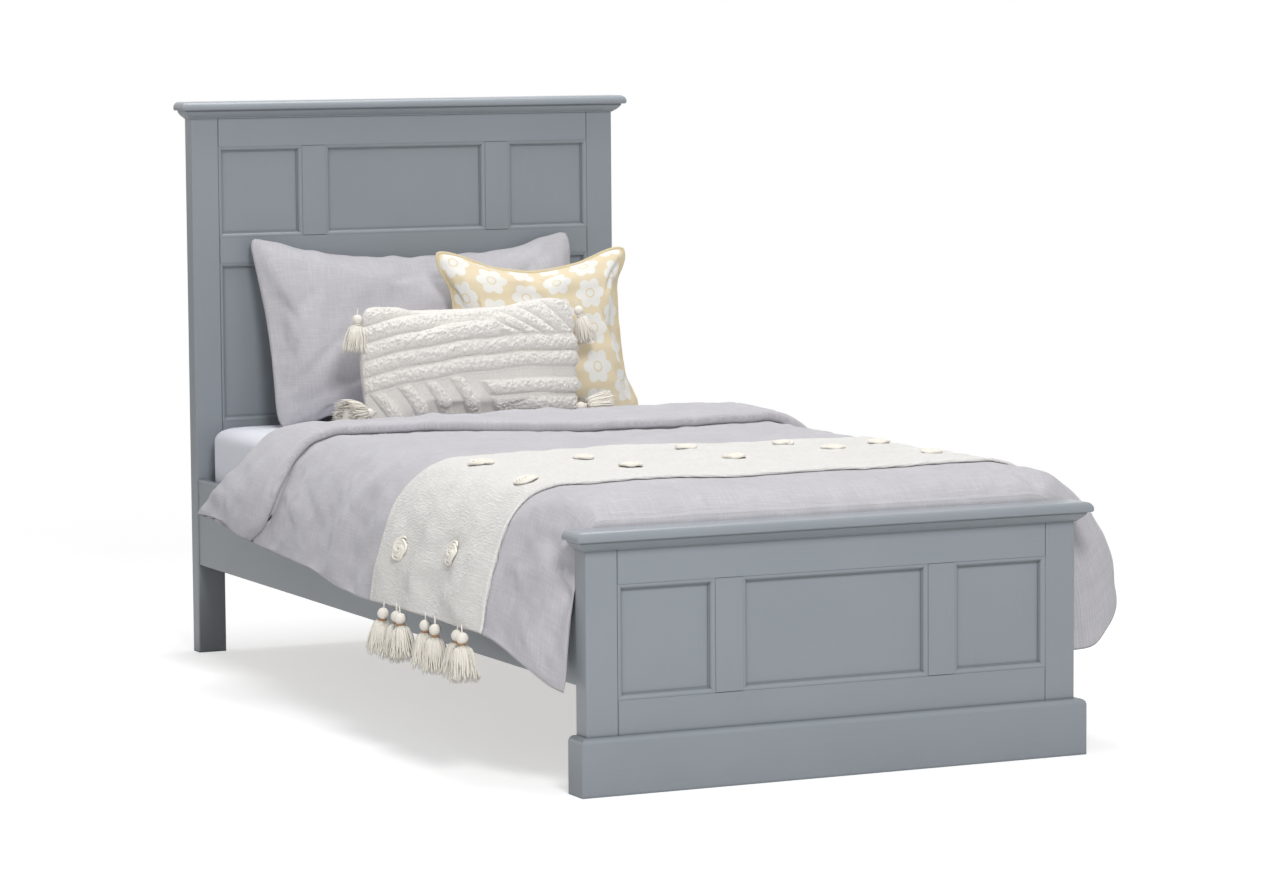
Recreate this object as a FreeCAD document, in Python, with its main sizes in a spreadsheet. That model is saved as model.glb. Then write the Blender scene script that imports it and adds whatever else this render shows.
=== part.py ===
"""A single panel bed with its bedding, as the separate pieces it is put together from.

Frame of the model: millimetres, +Z up, X across the bed, the footboard towards -Y and
the headboard towards +Y. The origin is on the floor under the middle of the bed.

The headboard and footboard are frames of posts, rails and stiles with loose panels in
their grooves, mitred mouldings round each panel, a mitred crown moulding and a cap. The
side rails hang on hooked plates let into their ends and carry ledges for the slats.
Everything soft is laid on top of that: mattress, fitted sheet, duvet, throw, cushions.
"""
import FreeCAD, Part
import math
import os
import re
import Sketcher

V = FreeCAD.Vector

# ---------------------------------------------------------------------------------------
# Driving dimensions, in millimetres
# ---------------------------------------------------------------------------------------
SIZES = [
    # the whole bed
    ("bed_width", 960, "outer face to outer face of the posts"),
    ("clear_length", 1907, "between the headboard and the footboard"),
    ("head_post_height", 1115, "floor to the top of a headboard post"),
    ("foot_post_height", 420, "floor to the top of a footboard post"),
    ("post_width", 60, "post, across the bed"),
    ("head_post_depth", 35, "headboard post, along the bed"),
    ("foot_post_depth", 42, "footboard post, along the bed"),
    ("post_round", 3, "radius on the long front edges of a post"),
    # boards of the two panelled frames
    ("board_thickness", 22, "rails and stiles"),
    ("board_groove", 1.5, "chamfer that shows as a line at a joint"),
    ("top_rail_height", 59, "top rail of either board"),
    ("middle_rail_height", 53, "rail between the two rows of headboard panels"),
    ("upper_panel_height", 189, "opening of the upper headboard row"),
    ("lower_panel_height", 331, "opening of the lower headboard row"),
    ("foot_panel_height", 200, "opening of the footboard row"),
    ("foot_rail_height", 101, "bottom rail of the footboard"),
    ("stile_width", 52, "stile between two panels"),
    ("middle_panel_width", 365, "opening between the two stiles"),
    # panels and their mouldings
    ("panel_thickness", 6, "loose panel"),
    ("panel_recess", 10, "panel face behind the face of the frame"),
    ("panel_tongue", 7, "how far a panel runs into its grooves"),
    ("panel_play", 1, "room left at the bottom of a groove"),
    ("moulding_width", 11, "moulding round a panel"),
    ("moulding_lip", 2, "flat lip of that moulding"),
    ("moulding_drop", 1, "moulding below the face of the frame"),
    # cap, crown moulding and plinth
    ("cap_thickness", 18, "cap board"),
    ("cap_overhang", 25, "cap past the front and the ends"),
    ("cap_nose", 12, "radius on the upper edge of the cap"),
    ("cap_under_nose", 4, "radius on the lower edge of the cap"),
    ("crown_height", 17, "crown moulding under the cap"),
    ("crown_reach", 16, "crown moulding, outwards"),
    ("crown_lip", 3, "flat lips of the crown moulding"),
    ("plinth_height", 101, "plinth round the foot of the footboard"),
    ("plinth_thickness", 16, "plinth board"),
    ("plinth_round", 10, "radius on its upper edge"),
    # side rails, ledges and slats
    ("rail_floor_gap", 185, "floor to the underside of a side rail"),
    ("side_rail_height", 179, "side rail"),
    ("side_rail_thickness", 18, "side rail"),
    ("side_rail_inset", 3, "side rail behind the outer face of the post"),
    ("side_rail_round", 2, "radius on its long edges"),
    ("ledge_rise", 50, "ledge above the underside of the side rail"),
    ("ledge_height", 25, "ledge"),
    ("ledge_width", 25, "ledge"),
    ("ledge_end_gap", 20, "ledge short of the end of the rail"),
    ("slat_count", 13, "slats"),
    ("slat_width", 70, "slat, along the bed"),
    ("slat_thickness", 20, "slat"),
    ("slat_end_gap", 1, "slat short of the side rail"),
    ("slat_first", 60, "end board to the first and last slat"),
    ("tape_width", 25, "webbing tape that spaces the slats"),
    ("tape_thickness", 1, "webbing tape"),
    ("tape_inset", 150, "side rail to the middle of a tape"),
    # tenons, plates and screws
    ("tenon_length", 20, "tenon at the end of a rail"),
    ("tenon_thickness", 8, "tenon at the end of a rail"),
    ("tenon_shoulder", 10, "edge of a rail to its tenon"),
    ("tenon_play", 1, "room left at the bottom of a mortise"),
    ("plate_height", 110, "steel plate at the end of a side rail"),
    ("plate_width", 14, "steel plate"),
    ("plate_thickness", 2.5, "steel plate"),
    ("hook_thickness", 3, "hook, across the bed and along it"),
    ("hook_neck", 10, "height of the neck of a hook"),
    ("hook_drop", 8, "how far a hook reaches down behind the slot"),
    ("hook_spacing", 50, "between the two hooks of a plate"),
    ("hook_play", 0.5, "room round a hook"),
    ("screw_radius", 2, "shank of a wood screw"),
    ("screw_head_radius", 4, "head of a wood screw"),
    ("screw_length", 28, "wood screw"),
    ("screw_spacing", 90, "between the two screws of a plate"),
    ("ledge_screw_count", 5, "screws along a ledge"),
    ("ledge_screw_length", 36, "screw through a ledge into its rail"),
    # mattress and fitted sheet
    ("mattress_height", 193, "mattress"),
    ("mattress_round", 40, "radius on its upper edges"),
    ("mattress_side_gap", 1.5, "sheet to the side rail"),
    ("mattress_end_gap", 12, "sheet to the headboard and footboard"),
    ("sheet_thickness", 1.5, "fitted sheet"),
    ("sheet_turn_up", 12, "hem of the sheet above the base of the mattress"),
    ("rest_gap", 0.5, "air between two soft things that lie on each other"),
    # duvet
    ("duvet_thickness", 33, "duvet on the mattress"),
    ("duvet_flap_thickness", 23, "turned-down layer on top of it"),
    ("duvet_edge_thickness", 9, "duvet where it is pressed flat at the foot"),
    ("duvet_foot_gap", 4, "duvet to the back of the footboard"),
    ("duvet_head_gap", 362, "duvet to the face of the headboard"),
    ("duvet_flap_depth", 324, "turned-down layer, along the bed"),
    ("duvet_shoulder_radius", 105, "curve over the edge of the mattress"),
    ("duvet_foot_radius", 66, "the same curve at the foot, where the duvet is thin"),
    ("duvet_flare", 112, "hem past the outer face of the side rail"),
    ("duvet_drop", 248, "top of the duvet down to its hem"),
    ("duvet_flap_drop", 220, "the same where it is turned down"),
    ("duvet_corner_drop", 310, "the same at the points of the foot corners"),
    ("duvet_left_corner_flare", 33, "left foot corner past the side rail"),
    ("duvet_right_corner_flare", 80, "right foot corner past the side rail"),
    ("duvet_tuck", 155, "length over which the foot corners are drawn in"),
    ("duvet_roll", 60, "length over which the head edge thins out"),
    ("duvet_wave", 9, "height of the folds along the hem"),
    ("duvet_wave_count", 2, "folds between the throw and the turned-down layer"),
    # throw
    ("throw_thickness", 4, "throw"),
    ("throw_width", 530, "throw, along the bed"),
    ("throw_foot_gap", 165, "footboard to the throw"),
    ("tassel_string_radius", 1.5, "string of a tassel"),
    ("tassel_string_length", 4, "string of a tassel, from the hem to the ball"),
    ("tassel_ball_radius", 10, "ball above the skirt"),
    ("tassel_neck_radius", 6, "binding between ball and skirt"),
    ("tassel_skirt_radius", 25, "skirt at its lower end"),
    ("tassel_skirt_length", 68, "skirt"),
    ("tassel_depth", 15, "skirt on the throw's hem, half its depth, as it hangs beside the duvet"),
    # cushions
    ("pillow_width", 730, "pillow, point to point"),
    ("pillow_height", 405, "pillow, point to point"),
    ("pillow_thickness", 112, "pillow"),
    ("pillow_lean", 15, "degrees that the pillow leans back"),
    ("pillow_gap", 84, "middle of the pillow to the headboard"),
    ("print_width", 434, "square cushion, point to point"),
    ("print_height", 364, "square cushion as it slumps, point to point"),
    ("print_thickness", 96, "square cushion"),
    ("print_lean", 12, "degrees that the square cushion leans back"),
    ("print_gap", 112, "middle of the square cushion to that of the pillow"),
    ("print_shift", 218, "square cushion off the middle of the bed"),
    ("tufted_width", 492, "lumbar cushion, point to point"),
    ("tufted_height", 260, "lumbar cushion, point to point"),
    ("tufted_thickness", 106, "lumbar cushion"),
    ("tufted_lean", 10, "degrees that the lumbar cushion leans back"),
    ("tufted_gap", 106, "its middle to that of the square cushion"),
    ("tufted_shift", 14, "lumbar cushion off the middle of the bed"),
    ("channel_count", 6, "channels across the lumbar cushion"),
    ("channel_depth", 9, "channel across the lumbar cushion"),
    ("welt_thickness", 5, "edge of the lumbar cushion"),
    ("cushion_tassel_radius", 18, "skirt of a tassel at a corner of the lumbar cushion"),
    ("draw_in", 12, "sides of a cushion drawn in between its points"),
]

doc = FreeCAD.newDocument("PanelBed")
sheet = doc.addObject("Spreadsheet::Sheet", "Sizes")
for row, (alias, value, meaning) in enumerate(SIZES, start=1):
    sheet.set("A%d" % row, alias)
    sheet.set("B%d" % row, str(value))
    sheet.set("C%d" % row, meaning)
    sheet.setAlias("B%d" % row, alias)
doc.recompute()

ALIAS = re.compile(r"\b(%s)\b" % "|".join(alias for alias, value, meaning in SIZES))


def cells(formula):
    """The same formula with each size name pointing at its cell of the sheet."""
    return ALIAS.sub(r"Sizes.\1", formula)


def size(alias):
    """The number in one cell of the sheet."""
    return float(sheet.get(alias))


# Places that several pieces share, as formulas of the driving dimensions
OVERALL = "(cap_overhang + foot_post_depth + clear_length + head_post_depth)"
FOOT_FACE = "(cap_overhang - %s / 2)" % OVERALL          # outer face of the footboard
FOOT_BACK = "(%s + foot_post_depth)" % FOOT_FACE
HEAD_FACE = "(%s + clear_length)" % FOOT_BACK
HALF_OPENING = "(bed_width / 2 - post_width)"            # centre line to a post
HALF_MIDDLE = "(middle_panel_width / 2)"
SIDE_PANEL = "(%s - %s - stile_width)" % (HALF_OPENING, HALF_MIDDLE)
BOARD_LENGTH = "(bed_width - 2 * post_width)"

HEAD_TOP_Z = "(head_post_height - top_rail_height)"
HEAD_UPPER_Z = "(%s - upper_panel_height)" % HEAD_TOP_Z
HEAD_MIDDLE_Z = "(%s - middle_rail_height)" % HEAD_UPPER_Z
HEAD_LOWER_Z = "(%s - lower_panel_height)" % HEAD_MIDDLE_Z
FOOT_TOP_Z = "(foot_post_height - top_rail_height)"
FOOT_PANEL_Z = "(%s - foot_panel_height)" % FOOT_TOP_Z

RAIL_OUTER = "(bed_width / 2 - side_rail_inset)"
RAIL_INNER = "(%s - side_rail_thickness)" % RAIL_OUTER
LEDGE_Z = "(rail_floor_gap + ledge_rise)"
SLAT_Z = "(%s + ledge_height)" % LEDGE_Z
MATTRESS_Z = "(%s + slat_thickness + tape_thickness + rest_gap)" % SLAT_Z
PLATE_Z = "(rail_floor_gap + side_rail_height / 2)"      # middle of a hooked plate


def number(formula):
    """The value of a formula of sizes, for the shapes that are made in code."""
    expression = ALIAS.sub(lambda found: repr(size(found.group(1))), formula)
    total = sheet.evalExpression(expression)
    return float(getattr(total, "Value", total))


# ---------------------------------------------------------------------------------------
# Sketches, pads and pockets
# ---------------------------------------------------------------------------------------
ROUND_SIDES = 8


def set_formula(thing, prop, formula):
    thing.setExpression(prop, cells(formula))


def new_body(label, corner=("0", "0", "0")):
    """An empty body whose own origin is placed at the given corner."""
    body = doc.addObject("PartDesign::Body", label)
    body.Label = label
    for axis, formula in zip("xyz", corner):
        set_formula(body, "Placement.Base." + axis, formula)
    return body


def new_sketch(body, role, offset="0"):
    """A sketch on one of the body's origin planes, moved off it along its normal."""
    sketch = body.newObject("Sketcher::SketchObject", "Sketch")
    plane = [item for item in body.Origin.OriginFeatures if item.Role == role][0]
    sketch.AttachmentSupport = [(plane, "")]
    sketch.MapMode = "FlatFace"
    if offset != "0":
        set_formula(sketch, "AttachmentOffset.Base.z", offset)
    return sketch


def draw_outline(sketch, points):
    """A closed outline whose corners are all placed by formulas."""
    count = len(points)
    first = sketch.GeometryCount
    places = [V(number(x), number(y), 0) for x, y in points]
    for i in range(count):
        sketch.addGeometry(Part.LineSegment(places[i], places[(i + 1) % count]))
    for i in range(count):
        after = first + (i + 1) % count
        sketch.addConstraint(Sketcher.Constraint("Coincident", first + i, 2, after, 1))
    for i, corner in enumerate(points):
        for kind, formula, place in zip(("DistanceX", "DistanceY"), corner, places[i]):
            rule = Sketcher.Constraint(kind, -1, 1, first + i, 1, place)
            index = sketch.addConstraint(rule)
            set_formula(sketch, "Constraints[%d]" % index, formula)


def draw_rectangle(sketch, left, low, width, height):
    right = "%s + %s" % (left, width)
    high = "%s + %s" % (low, height)
    draw_outline(sketch, [(left, low), (right, low), (right, high), (left, high)])


def draw_octagon(sketch, x, y, radius):
    """Small round holes and what goes in them are many, so they have eight sides."""
    corners = []
    for i in range(ROUND_SIDES):
        angle = 2 * math.pi * i / ROUND_SIDES
        corners.append(("%s + %s * %.6f" % (x, radius, math.cos(angle)),
                        "%s + %s * %.6f" % (y, radius, math.sin(angle))))
    draw_outline(sketch, corners)


def add_pad(body, sketch, length, backwards=False):
    pad = body.newObject("PartDesign::Pad", "Pad")
    pad.Profile = sketch
    pad.Reversed = backwards
    set_formula(pad, "Length", length)
    sketch.Visibility = False
    return pad


def add_pocket(body, sketch, depth, backwards=False):
    """A pocket that must take something away, or the bed is built wrong."""
    doc.recompute()
    before = body.Shape.Volume
    pocket = body.newObject("PartDesign::Pocket", "Pocket")
    pocket.Profile = sketch
    pocket.Reversed = backwards
    set_formula(pocket, "Length", depth)
    doc.recompute()
    if not body.Shape.Volume < before:
        raise RuntimeError("a pocket in %s cuts nothing" % body.Label)
    return pocket


def edges_where(body, test):
    """Names of the edges of the body's last feature whose two ends pass the test."""
    doc.recompute()
    shape = body.Tip.Shape
    names = []
    for i, edge in enumerate(shape.Edges, start=1):
        ends = [vertex.Point for vertex in edge.Vertexes]
        if len(ends) == 2 and test(ends[0], ends[1]):
            names.append("Edge%d" % i)
    return names


def add_fillet(body, test, radius):
    names = edges_where(body, test)
    base = body.Tip
    fillet = body.newObject("PartDesign::Fillet", "Fillet")
    fillet.Base = (base, names)
    set_formula(fillet, "Radius", radius)
    doc.recompute()
    return fillet


def add_chamfer(body, test, leg):
    names = edges_where(body, test)
    base = body.Tip
    chamfer = body.newObject("PartDesign::Chamfer", "Chamfer")
    chamfer.Base = (base, names)
    set_formula(chamfer, "Size", leg)
    doc.recompute()
    return chamfer


def near(a, b):
    return abs(a - b) < 0.01


def mirrored(label, source, normal=V(1, 0, 0)):
    """The same piece on the other side of the bed."""
    other = doc.addObject("Part::Mirroring", label)
    other.Label = label
    other.Source = source
    other.Normal = normal
    return other


def feature(label, shape):
    """A piece or a group of like pieces whose shape is worked out in code."""
    thing = doc.addObject("Part::Feature", label)
    thing.Label = label
    thing.Shape = shape
    return thing


# ---------------------------------------------------------------------------------------
# Boards: posts, rails, stiles and panels
# ---------------------------------------------------------------------------------------
GROOVE_DEPTH = "(panel_tongue + panel_play)"
MORTISE_DEPTH = "(tenon_length + tenon_play)"
RAIL_MIDDLE = "(side_rail_inset + side_rail_thickness / 2)"   # from the post's outer face
HOOK_REACH = "(plate_thickness + hook_play + hook_thickness)"


def draw_tenon(sketch, low, height):
    """Section of the tenon of a rail, given the underside and height of the rail."""
    draw_rectangle(sketch, "board_thickness / 2 - tenon_thickness / 2",
                   "%s + tenon_shoulder" % low, "tenon_thickness",
                   "%s - 2 * tenon_shoulder" % height)


def add_plate_seat(body, offset, into, centre_x, centre_z, hooked):
    """Mortise for a steel plate, its screw holes and, in a post, room for the hooks."""
    seat = new_sketch(body, "XZ_Plane", offset)
    draw_rectangle(seat, "%s - plate_width / 2" % centre_x,
                   "%s - plate_height / 2" % centre_z, "plate_width", "plate_height")
    add_pocket(body, seat, "plate_thickness", backwards=into)
    holes = new_sketch(body, "XZ_Plane", offset)
    for side in ("-", "+"):
        draw_octagon(holes, centre_x, "%s %s screw_spacing / 2" % (centre_z, side),
                     "screw_radius")
    add_pocket(body, holes, "screw_length", backwards=into)
    if hooked:
        room = new_sketch(body, "XZ_Plane", offset)
        for side in ("-", "+"):
            neck = "%s %s hook_spacing / 2" % (centre_z, side)
            draw_rectangle(room, "%s - hook_thickness / 2 - hook_play" % centre_x,
                           "%s - hook_drop - hook_play" % neck,
                           "hook_thickness + 2 * hook_play",
                           "hook_neck + 2 * hook_drop + 2 * hook_play")
        add_pocket(body, room, HOOK_REACH + " + hook_play", backwards=into)


def make_post(label, depth, height, face, rails, groove_low, groove_high, plate_offset):
    """Left post: rounded front edges, panel groove, mortises and a plate seat."""
    body = new_body(label, ("-bed_width / 2", face, "0"))
    sketch = new_sketch(body, "XY_Plane")
    draw_rectangle(sketch, "0", "0", "post_width", depth)
    add_pad(body, sketch, height)
    add_fillet(body, lambda a, b: near(a.x, b.x) and near(a.y, 0) and near(b.y, 0),
               "post_round")
    groove = new_sketch(body, "YZ_Plane", "post_width")
    draw_rectangle(groove, "panel_recess", "%s - %s" % (groove_low, GROOVE_DEPTH),
                   "panel_thickness",
                   "%s - %s + 2 * %s" % (groove_high, groove_low, GROOVE_DEPTH))
    add_pocket(body, groove, GROOVE_DEPTH)
    mortises = new_sketch(body, "YZ_Plane", "post_width")
    for low, rail_height in rails:
        draw_tenon(mortises, low, rail_height)
    add_pocket(body, mortises, MORTISE_DEPTH)
    add_plate_seat(body, plate_offset, plate_offset != "0", RAIL_MIDDLE, PLATE_Z, True)
    return body


def make_rail(label, face, low, height, grooves):
    """A rail with a tenon at each end; grooves names its grooved edges, low or high."""
    body = new_body(label, ("-" + HALF_OPENING, face, low))
    sketch = new_sketch(body, "XY_Plane")
    draw_rectangle(sketch, "0", "0", BOARD_LENGTH, "board_thickness")
    add_pad(body, sketch, height)
    add_chamfer(body, lambda a, b: near(a.x, b.x) and near(a.y, 0) and near(b.y, 0),
                "board_groove")
    for edge in grooves:
        offset = "0" if edge == "low" else height
        groove = new_sketch(body, "XY_Plane", offset)
        draw_rectangle(groove, "0", "panel_recess", BOARD_LENGTH, "panel_thickness")
        add_pocket(body, groove, GROOVE_DEPTH, backwards=edge == "low")
    for offset, backwards in (("0", True), (BOARD_LENGTH, False)):
        tenon = new_sketch(body, "YZ_Plane", offset)
        draw_tenon(tenon, "0", height)
        add_pad(body, tenon, "tenon_length", backwards=backwards)
    return body


def make_stile(label, side, face, low, height):
    """A stile between two rails: grooved down its sides, tongued into their grooves."""
    left = HALF_MIDDLE if side > 0 else "-%s - stile_width" % HALF_MIDDLE
    body = new_body(label, (left, face, low))
    sketch = new_sketch(body, "XY_Plane")
    draw_rectangle(sketch, "0", "0", "stile_width", "board_thickness")
    add_pad(body, sketch, height)
    add_chamfer(body, lambda a, b: near(a.z, b.z) and near(a.y, 0) and near(b.y, 0),
                "board_groove")
    for offset, backwards in (("0", True), ("stile_width", False)):
        groove = new_sketch(body, "YZ_Plane", offset)
        draw_rectangle(groove, "panel_recess", "0", "panel_thickness", height)
        add_pocket(body, groove, GROOVE_DEPTH, backwards=backwards)
    for offset, backwards in (("0", True), (height, False)):
        tongue = new_sketch(body, "XY_Plane", offset)
        draw_rectangle(tongue, GROOVE_DEPTH, "panel_recess",
                       "stile_width - 2 * %s" % GROOVE_DEPTH, "panel_thickness")
        add_pad(body, tongue, "panel_tongue", backwards=backwards)
    return body


PANEL_PLACES = {
    "left": ("-" + HALF_OPENING, SIDE_PANEL),
    "middle": ("-" + HALF_MIDDLE, "middle_panel_width"),
    "right": ("(%s + stile_width)" % HALF_MIDDLE, SIDE_PANEL),
}


def make_panel(label, place, face, low, height):
    """A loose panel, its edges in the grooves round its opening."""
    left, width = PANEL_PLACES[place]
    body = new_body(label, ("%s - panel_tongue" % left, "%s + panel_recess" % face,
                            "%s - panel_tongue" % low))
    sketch = new_sketch(body, "XY_Plane")
    draw_rectangle(sketch, "0", "0", "%s + 2 * panel_tongue" % width, "panel_thickness")
    add_pad(body, sketch, "%s + 2 * panel_tongue" % height)
    return body


# ---------------------------------------------------------------------------------------
# Mouldings, mitred at their corners
# ---------------------------------------------------------------------------------------
def trace(points, place):
    """A closed wire; a pair of points stands for the middle and the end of an arc."""
    edges = []
    here = points[0]
    for step in points[1:] + [points[0]]:
        if isinstance(step[0], tuple):
            edges.append(Part.Arc(place(here), place(step[0]), place(step[1])).toShape())
            here = step[1]
        else:
            edges.append(Part.LineSegment(place(here), place(step)).toShape())
            here = step
    return Part.Wire(edges)


def mitre_block(corner, normal, reach):
    """Everything past the mitre at the corner of a moulding."""
    square = Part.makePlane(2 * reach, 2 * reach)
    square.translate(V(-reach, -reach, 0))
    block = square.extrude(V(0, 0, 2 * reach))
    block.Placement = FreeCAD.Placement(corner, FreeCAD.Rotation(V(0, 0, 1), normal))
    return block


def mitred_strip(profile, start, end, side, depth, turns):
    """A moulding from start to end. Its profile is (along side, along depth).

    A turn of 1 is the mitre of an inside corner, -1 that of an outside one, and 0 is a
    square end.
    """
    along = (end - start).normalize()
    corners = [point for point in profile if not isinstance(point[0], tuple)]
    reach = max(point[0] for point in corners)
    block = 2 * (reach + max(point[1] for point in corners))
    begin = start - along * (reach if turns[0] < 0 else 0)
    finish = end + along * (reach if turns[1] < 0 else 0)
    wire = trace(profile, lambda p: begin + side * p[0] + depth * p[1])
    strip = Part.Face(wire).extrude(finish - begin)
    for corner, outwards, turn in ((start, along * -1, turns[0]), (end, along, turns[1])):
        if turn:
            strip = strip.cut(mitre_block(corner, outwards + side * turn, block))
    return strip.Solids[0]


def panel_moulding(label, place, face, low, height):
    """Four mitred strips with a quarter round, inside the opening of one panel."""
    left, width = PANEL_PLACES[place]
    x0 = number(left)
    x1 = x0 + number(width)
    z0 = number(low)
    z1 = z0 + number(height)
    y = number(face)
    wide = size("moulding_width")
    lip = size("moulding_lip")
    drop = size("moulding_drop")
    recess = size("panel_recess")
    fall = recess - lip - drop
    run = wide - 2 * lip
    bulge = math.sqrt(0.5)
    profile = [
        (0, drop), (lip, drop),
        ((lip + run * bulge, drop + fall * (1 - bulge)), (lip + run, drop + fall)),
        (wide, drop + fall), (wide, recess), (0, recess),
    ]
    corners = [V(x0, y, z0), V(x1, y, z0), V(x1, y, z1), V(x0, y, z1)]
    insides = [V(0, 0, 1), V(-1, 0, 0), V(0, 0, -1), V(1, 0, 0)]
    strips = [
        mitred_strip(profile, corners[i], corners[(i + 1) % 4], insides[i], V(0, 1, 0),
                     (1, 1))
        for i in range(4)
    ]
    return feature(label, Part.makeCompound(strips))


def outside_moulding(label, profile, face, depth, low):
    """A strip along the front of a board and two returns along its ends."""
    half = number("bed_width / 2")
    front = number(face)
    back = front + number(depth)
    z = number(low)
    left_front, right_front = V(-half, front, z), V(half, front, z)
    left_back, right_back = V(-half, back, z), V(half, back, z)
    up = V(0, 0, 1)
    strips = [
        mitred_strip(profile, left_front, right_front, V(0, -1, 0), up, (-1, -1)),
        mitred_strip(profile, left_back, left_front, V(-1, 0, 0), up, (0, -1)),
        mitred_strip(profile, right_front, right_back, V(1, 0, 0), up, (-1, 0)),
    ]
    return feature(label, Part.makeCompound(strips))


def crown_profile():
    """A hollow moulding that opens upwards, with a flat lip at each end."""
    reach = size("crown_reach")
    height = size("crown_height")
    lip = size("crown_lip")
    middle = ((lip + reach) / 2 + lip / 3, (height - lip) / 2)
    return [(0, 0), (lip, 0), (lip, lip / 2), (middle, (reach, height - lip)),
            (reach, height), (0, height)]


def plinth_profile():
    """A flat board with its upper outer edge rounded."""
    thick = size("plinth_thickness")
    height = size("plinth_height")
    radius = size("plinth_round")
    inset = radius * (1 - math.sqrt(0.5))
    return [(0, 0), (thick, 0), (thick, height - radius),
            ((thick - inset, height - inset), (thick - radius, height)), (0, height)]


def make_cap(label, face, depth, low):
    """The cap board: nosed along the front and both ends, flush at the back."""
    half = "(bed_width / 2 + cap_overhang)"
    body = new_body(label, ("-" + half, "%s - cap_overhang" % face, low))
    sketch = new_sketch(body, "XY_Plane")
    draw_rectangle(sketch, "0", "0", "2 * " + half, depth + " + cap_overhang")
    add_pad(body, sketch, "cap_thickness")
    top = size("cap_thickness")
    back = number(depth + " + cap_overhang")
    for level, radius in ((top, "cap_nose"), (0, "cap_under_nose")):
        def nosed(a, b, level=level):
            flat = near(a.z, level) and near(b.z, level)
            return flat and not (near(a.y, back) and near(b.y, back))
        add_fillet(body, nosed, radius)
    return body


# ---------------------------------------------------------------------------------------
# Side rails, ledges, slats and what fastens them
# ---------------------------------------------------------------------------------------
LEDGE_LENGTH = "(clear_length - 2 * ledge_end_gap)"
LEDGE_SCREW_STEP = "(%s / ledge_screw_count)" % LEDGE_LENGTH
LEDGE_SCREW_FIRST = "%s / 2" % LEDGE_SCREW_STEP
# depth of a countersink: its eight flats slope at 45 degrees
NECK_DEPTH = "((screw_head_radius - screw_radius) * %.6f)" % math.cos(math.pi / ROUND_SIDES)


def make_side_rail(label):
    """Left side rail: a plate seat in each end and screw holes for its ledge."""
    body = new_body(label, ("-" + RAIL_OUTER, FOOT_BACK, "rail_floor_gap"))
    sketch = new_sketch(body, "XY_Plane")
    draw_rectangle(sketch, "0", "0", "side_rail_thickness", "clear_length")
    add_pad(body, sketch, "side_rail_height")
    add_fillet(body, lambda a, b: near(a.x, b.x) and near(a.z, b.z), "side_rail_round")
    middle_x = "side_rail_thickness / 2"
    middle_z = "side_rail_height / 2"
    add_plate_seat(body, "0", False, middle_x, middle_z, False)
    add_plate_seat(body, "-clear_length", True, middle_x, middle_z, False)
    first = new_sketch(body, "YZ_Plane", "side_rail_thickness")
    draw_octagon(first, "ledge_end_gap + %s" % LEDGE_SCREW_FIRST,
                 "ledge_rise + ledge_height / 2", "screw_radius")
    repeat_along(body, [add_pocket(body, first, "ledge_screw_length - ledge_width")])
    return body


def repeat_along(body, holes):
    """The same holes for each screw of a ledge."""
    pattern = body.newObject("PartDesign::LinearPattern", "LinearPattern")
    pattern.Originals = holes
    axis = [item for item in body.Origin.OriginFeatures if item.Role == "Y_Axis"][0]
    pattern.Direction = (axis, [""])
    set_formula(pattern, "Length", "%s - %s" % (LEDGE_LENGTH, LEDGE_SCREW_STEP))
    set_formula(pattern, "Occurrences", "ledge_screw_count")
    body.Tip = pattern
    doc.recompute()


def add_countersunk(body, role, offset, places, through, backwards=False):
    """Countersunk screw holes at some places of a plane, through a given thickness."""
    heads = new_sketch(body, role, offset)
    shanks = new_sketch(body, role, offset)
    for x, y in places:
        draw_octagon(heads, x, y, "screw_head_radius")
        draw_octagon(shanks, x, y, "screw_radius")
    sink = add_pocket(body, heads, NECK_DEPTH, backwards)
    sink.TaperAngle = -45
    return [sink, add_pocket(body, shanks, through, backwards)]


def make_ledge(label):
    """Left ledge: a batten screwed to the inside of the side rail."""
    body = new_body(label, ("-" + RAIL_INNER, FOOT_BACK + " + ledge_end_gap", LEDGE_Z))
    sketch = new_sketch(body, "XY_Plane")
    draw_rectangle(sketch, "0", "0", "ledge_width", LEDGE_LENGTH)
    add_pad(body, sketch, "ledge_height")
    place = (LEDGE_SCREW_FIRST, "ledge_height / 2")
    repeat_along(body, add_countersunk(body, "YZ_Plane", "ledge_width", [place],
                                       "ledge_width"))
    return body


def make_slat():
    """One slat, at the origin of the bed, with its long edges eased."""
    half = "(%s - slat_end_gap)" % RAIL_INNER
    body = new_body("slat_blank", ("-" + half, "-slat_width / 2", SLAT_Z))
    sketch = new_sketch(body, "XY_Plane")
    draw_rectangle(sketch, "0", "0", "2 * " + half, "slat_width")
    add_pad(body, sketch, "slat_thickness")
    add_chamfer(body, lambda a, b: near(a.y, b.y) and near(a.z, b.z), "board_groove")
    return body


PLATE_SCREWS = [("side_rail_thickness / 2", side + " screw_spacing / 2")
                for side in ("-", "+")]


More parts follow.
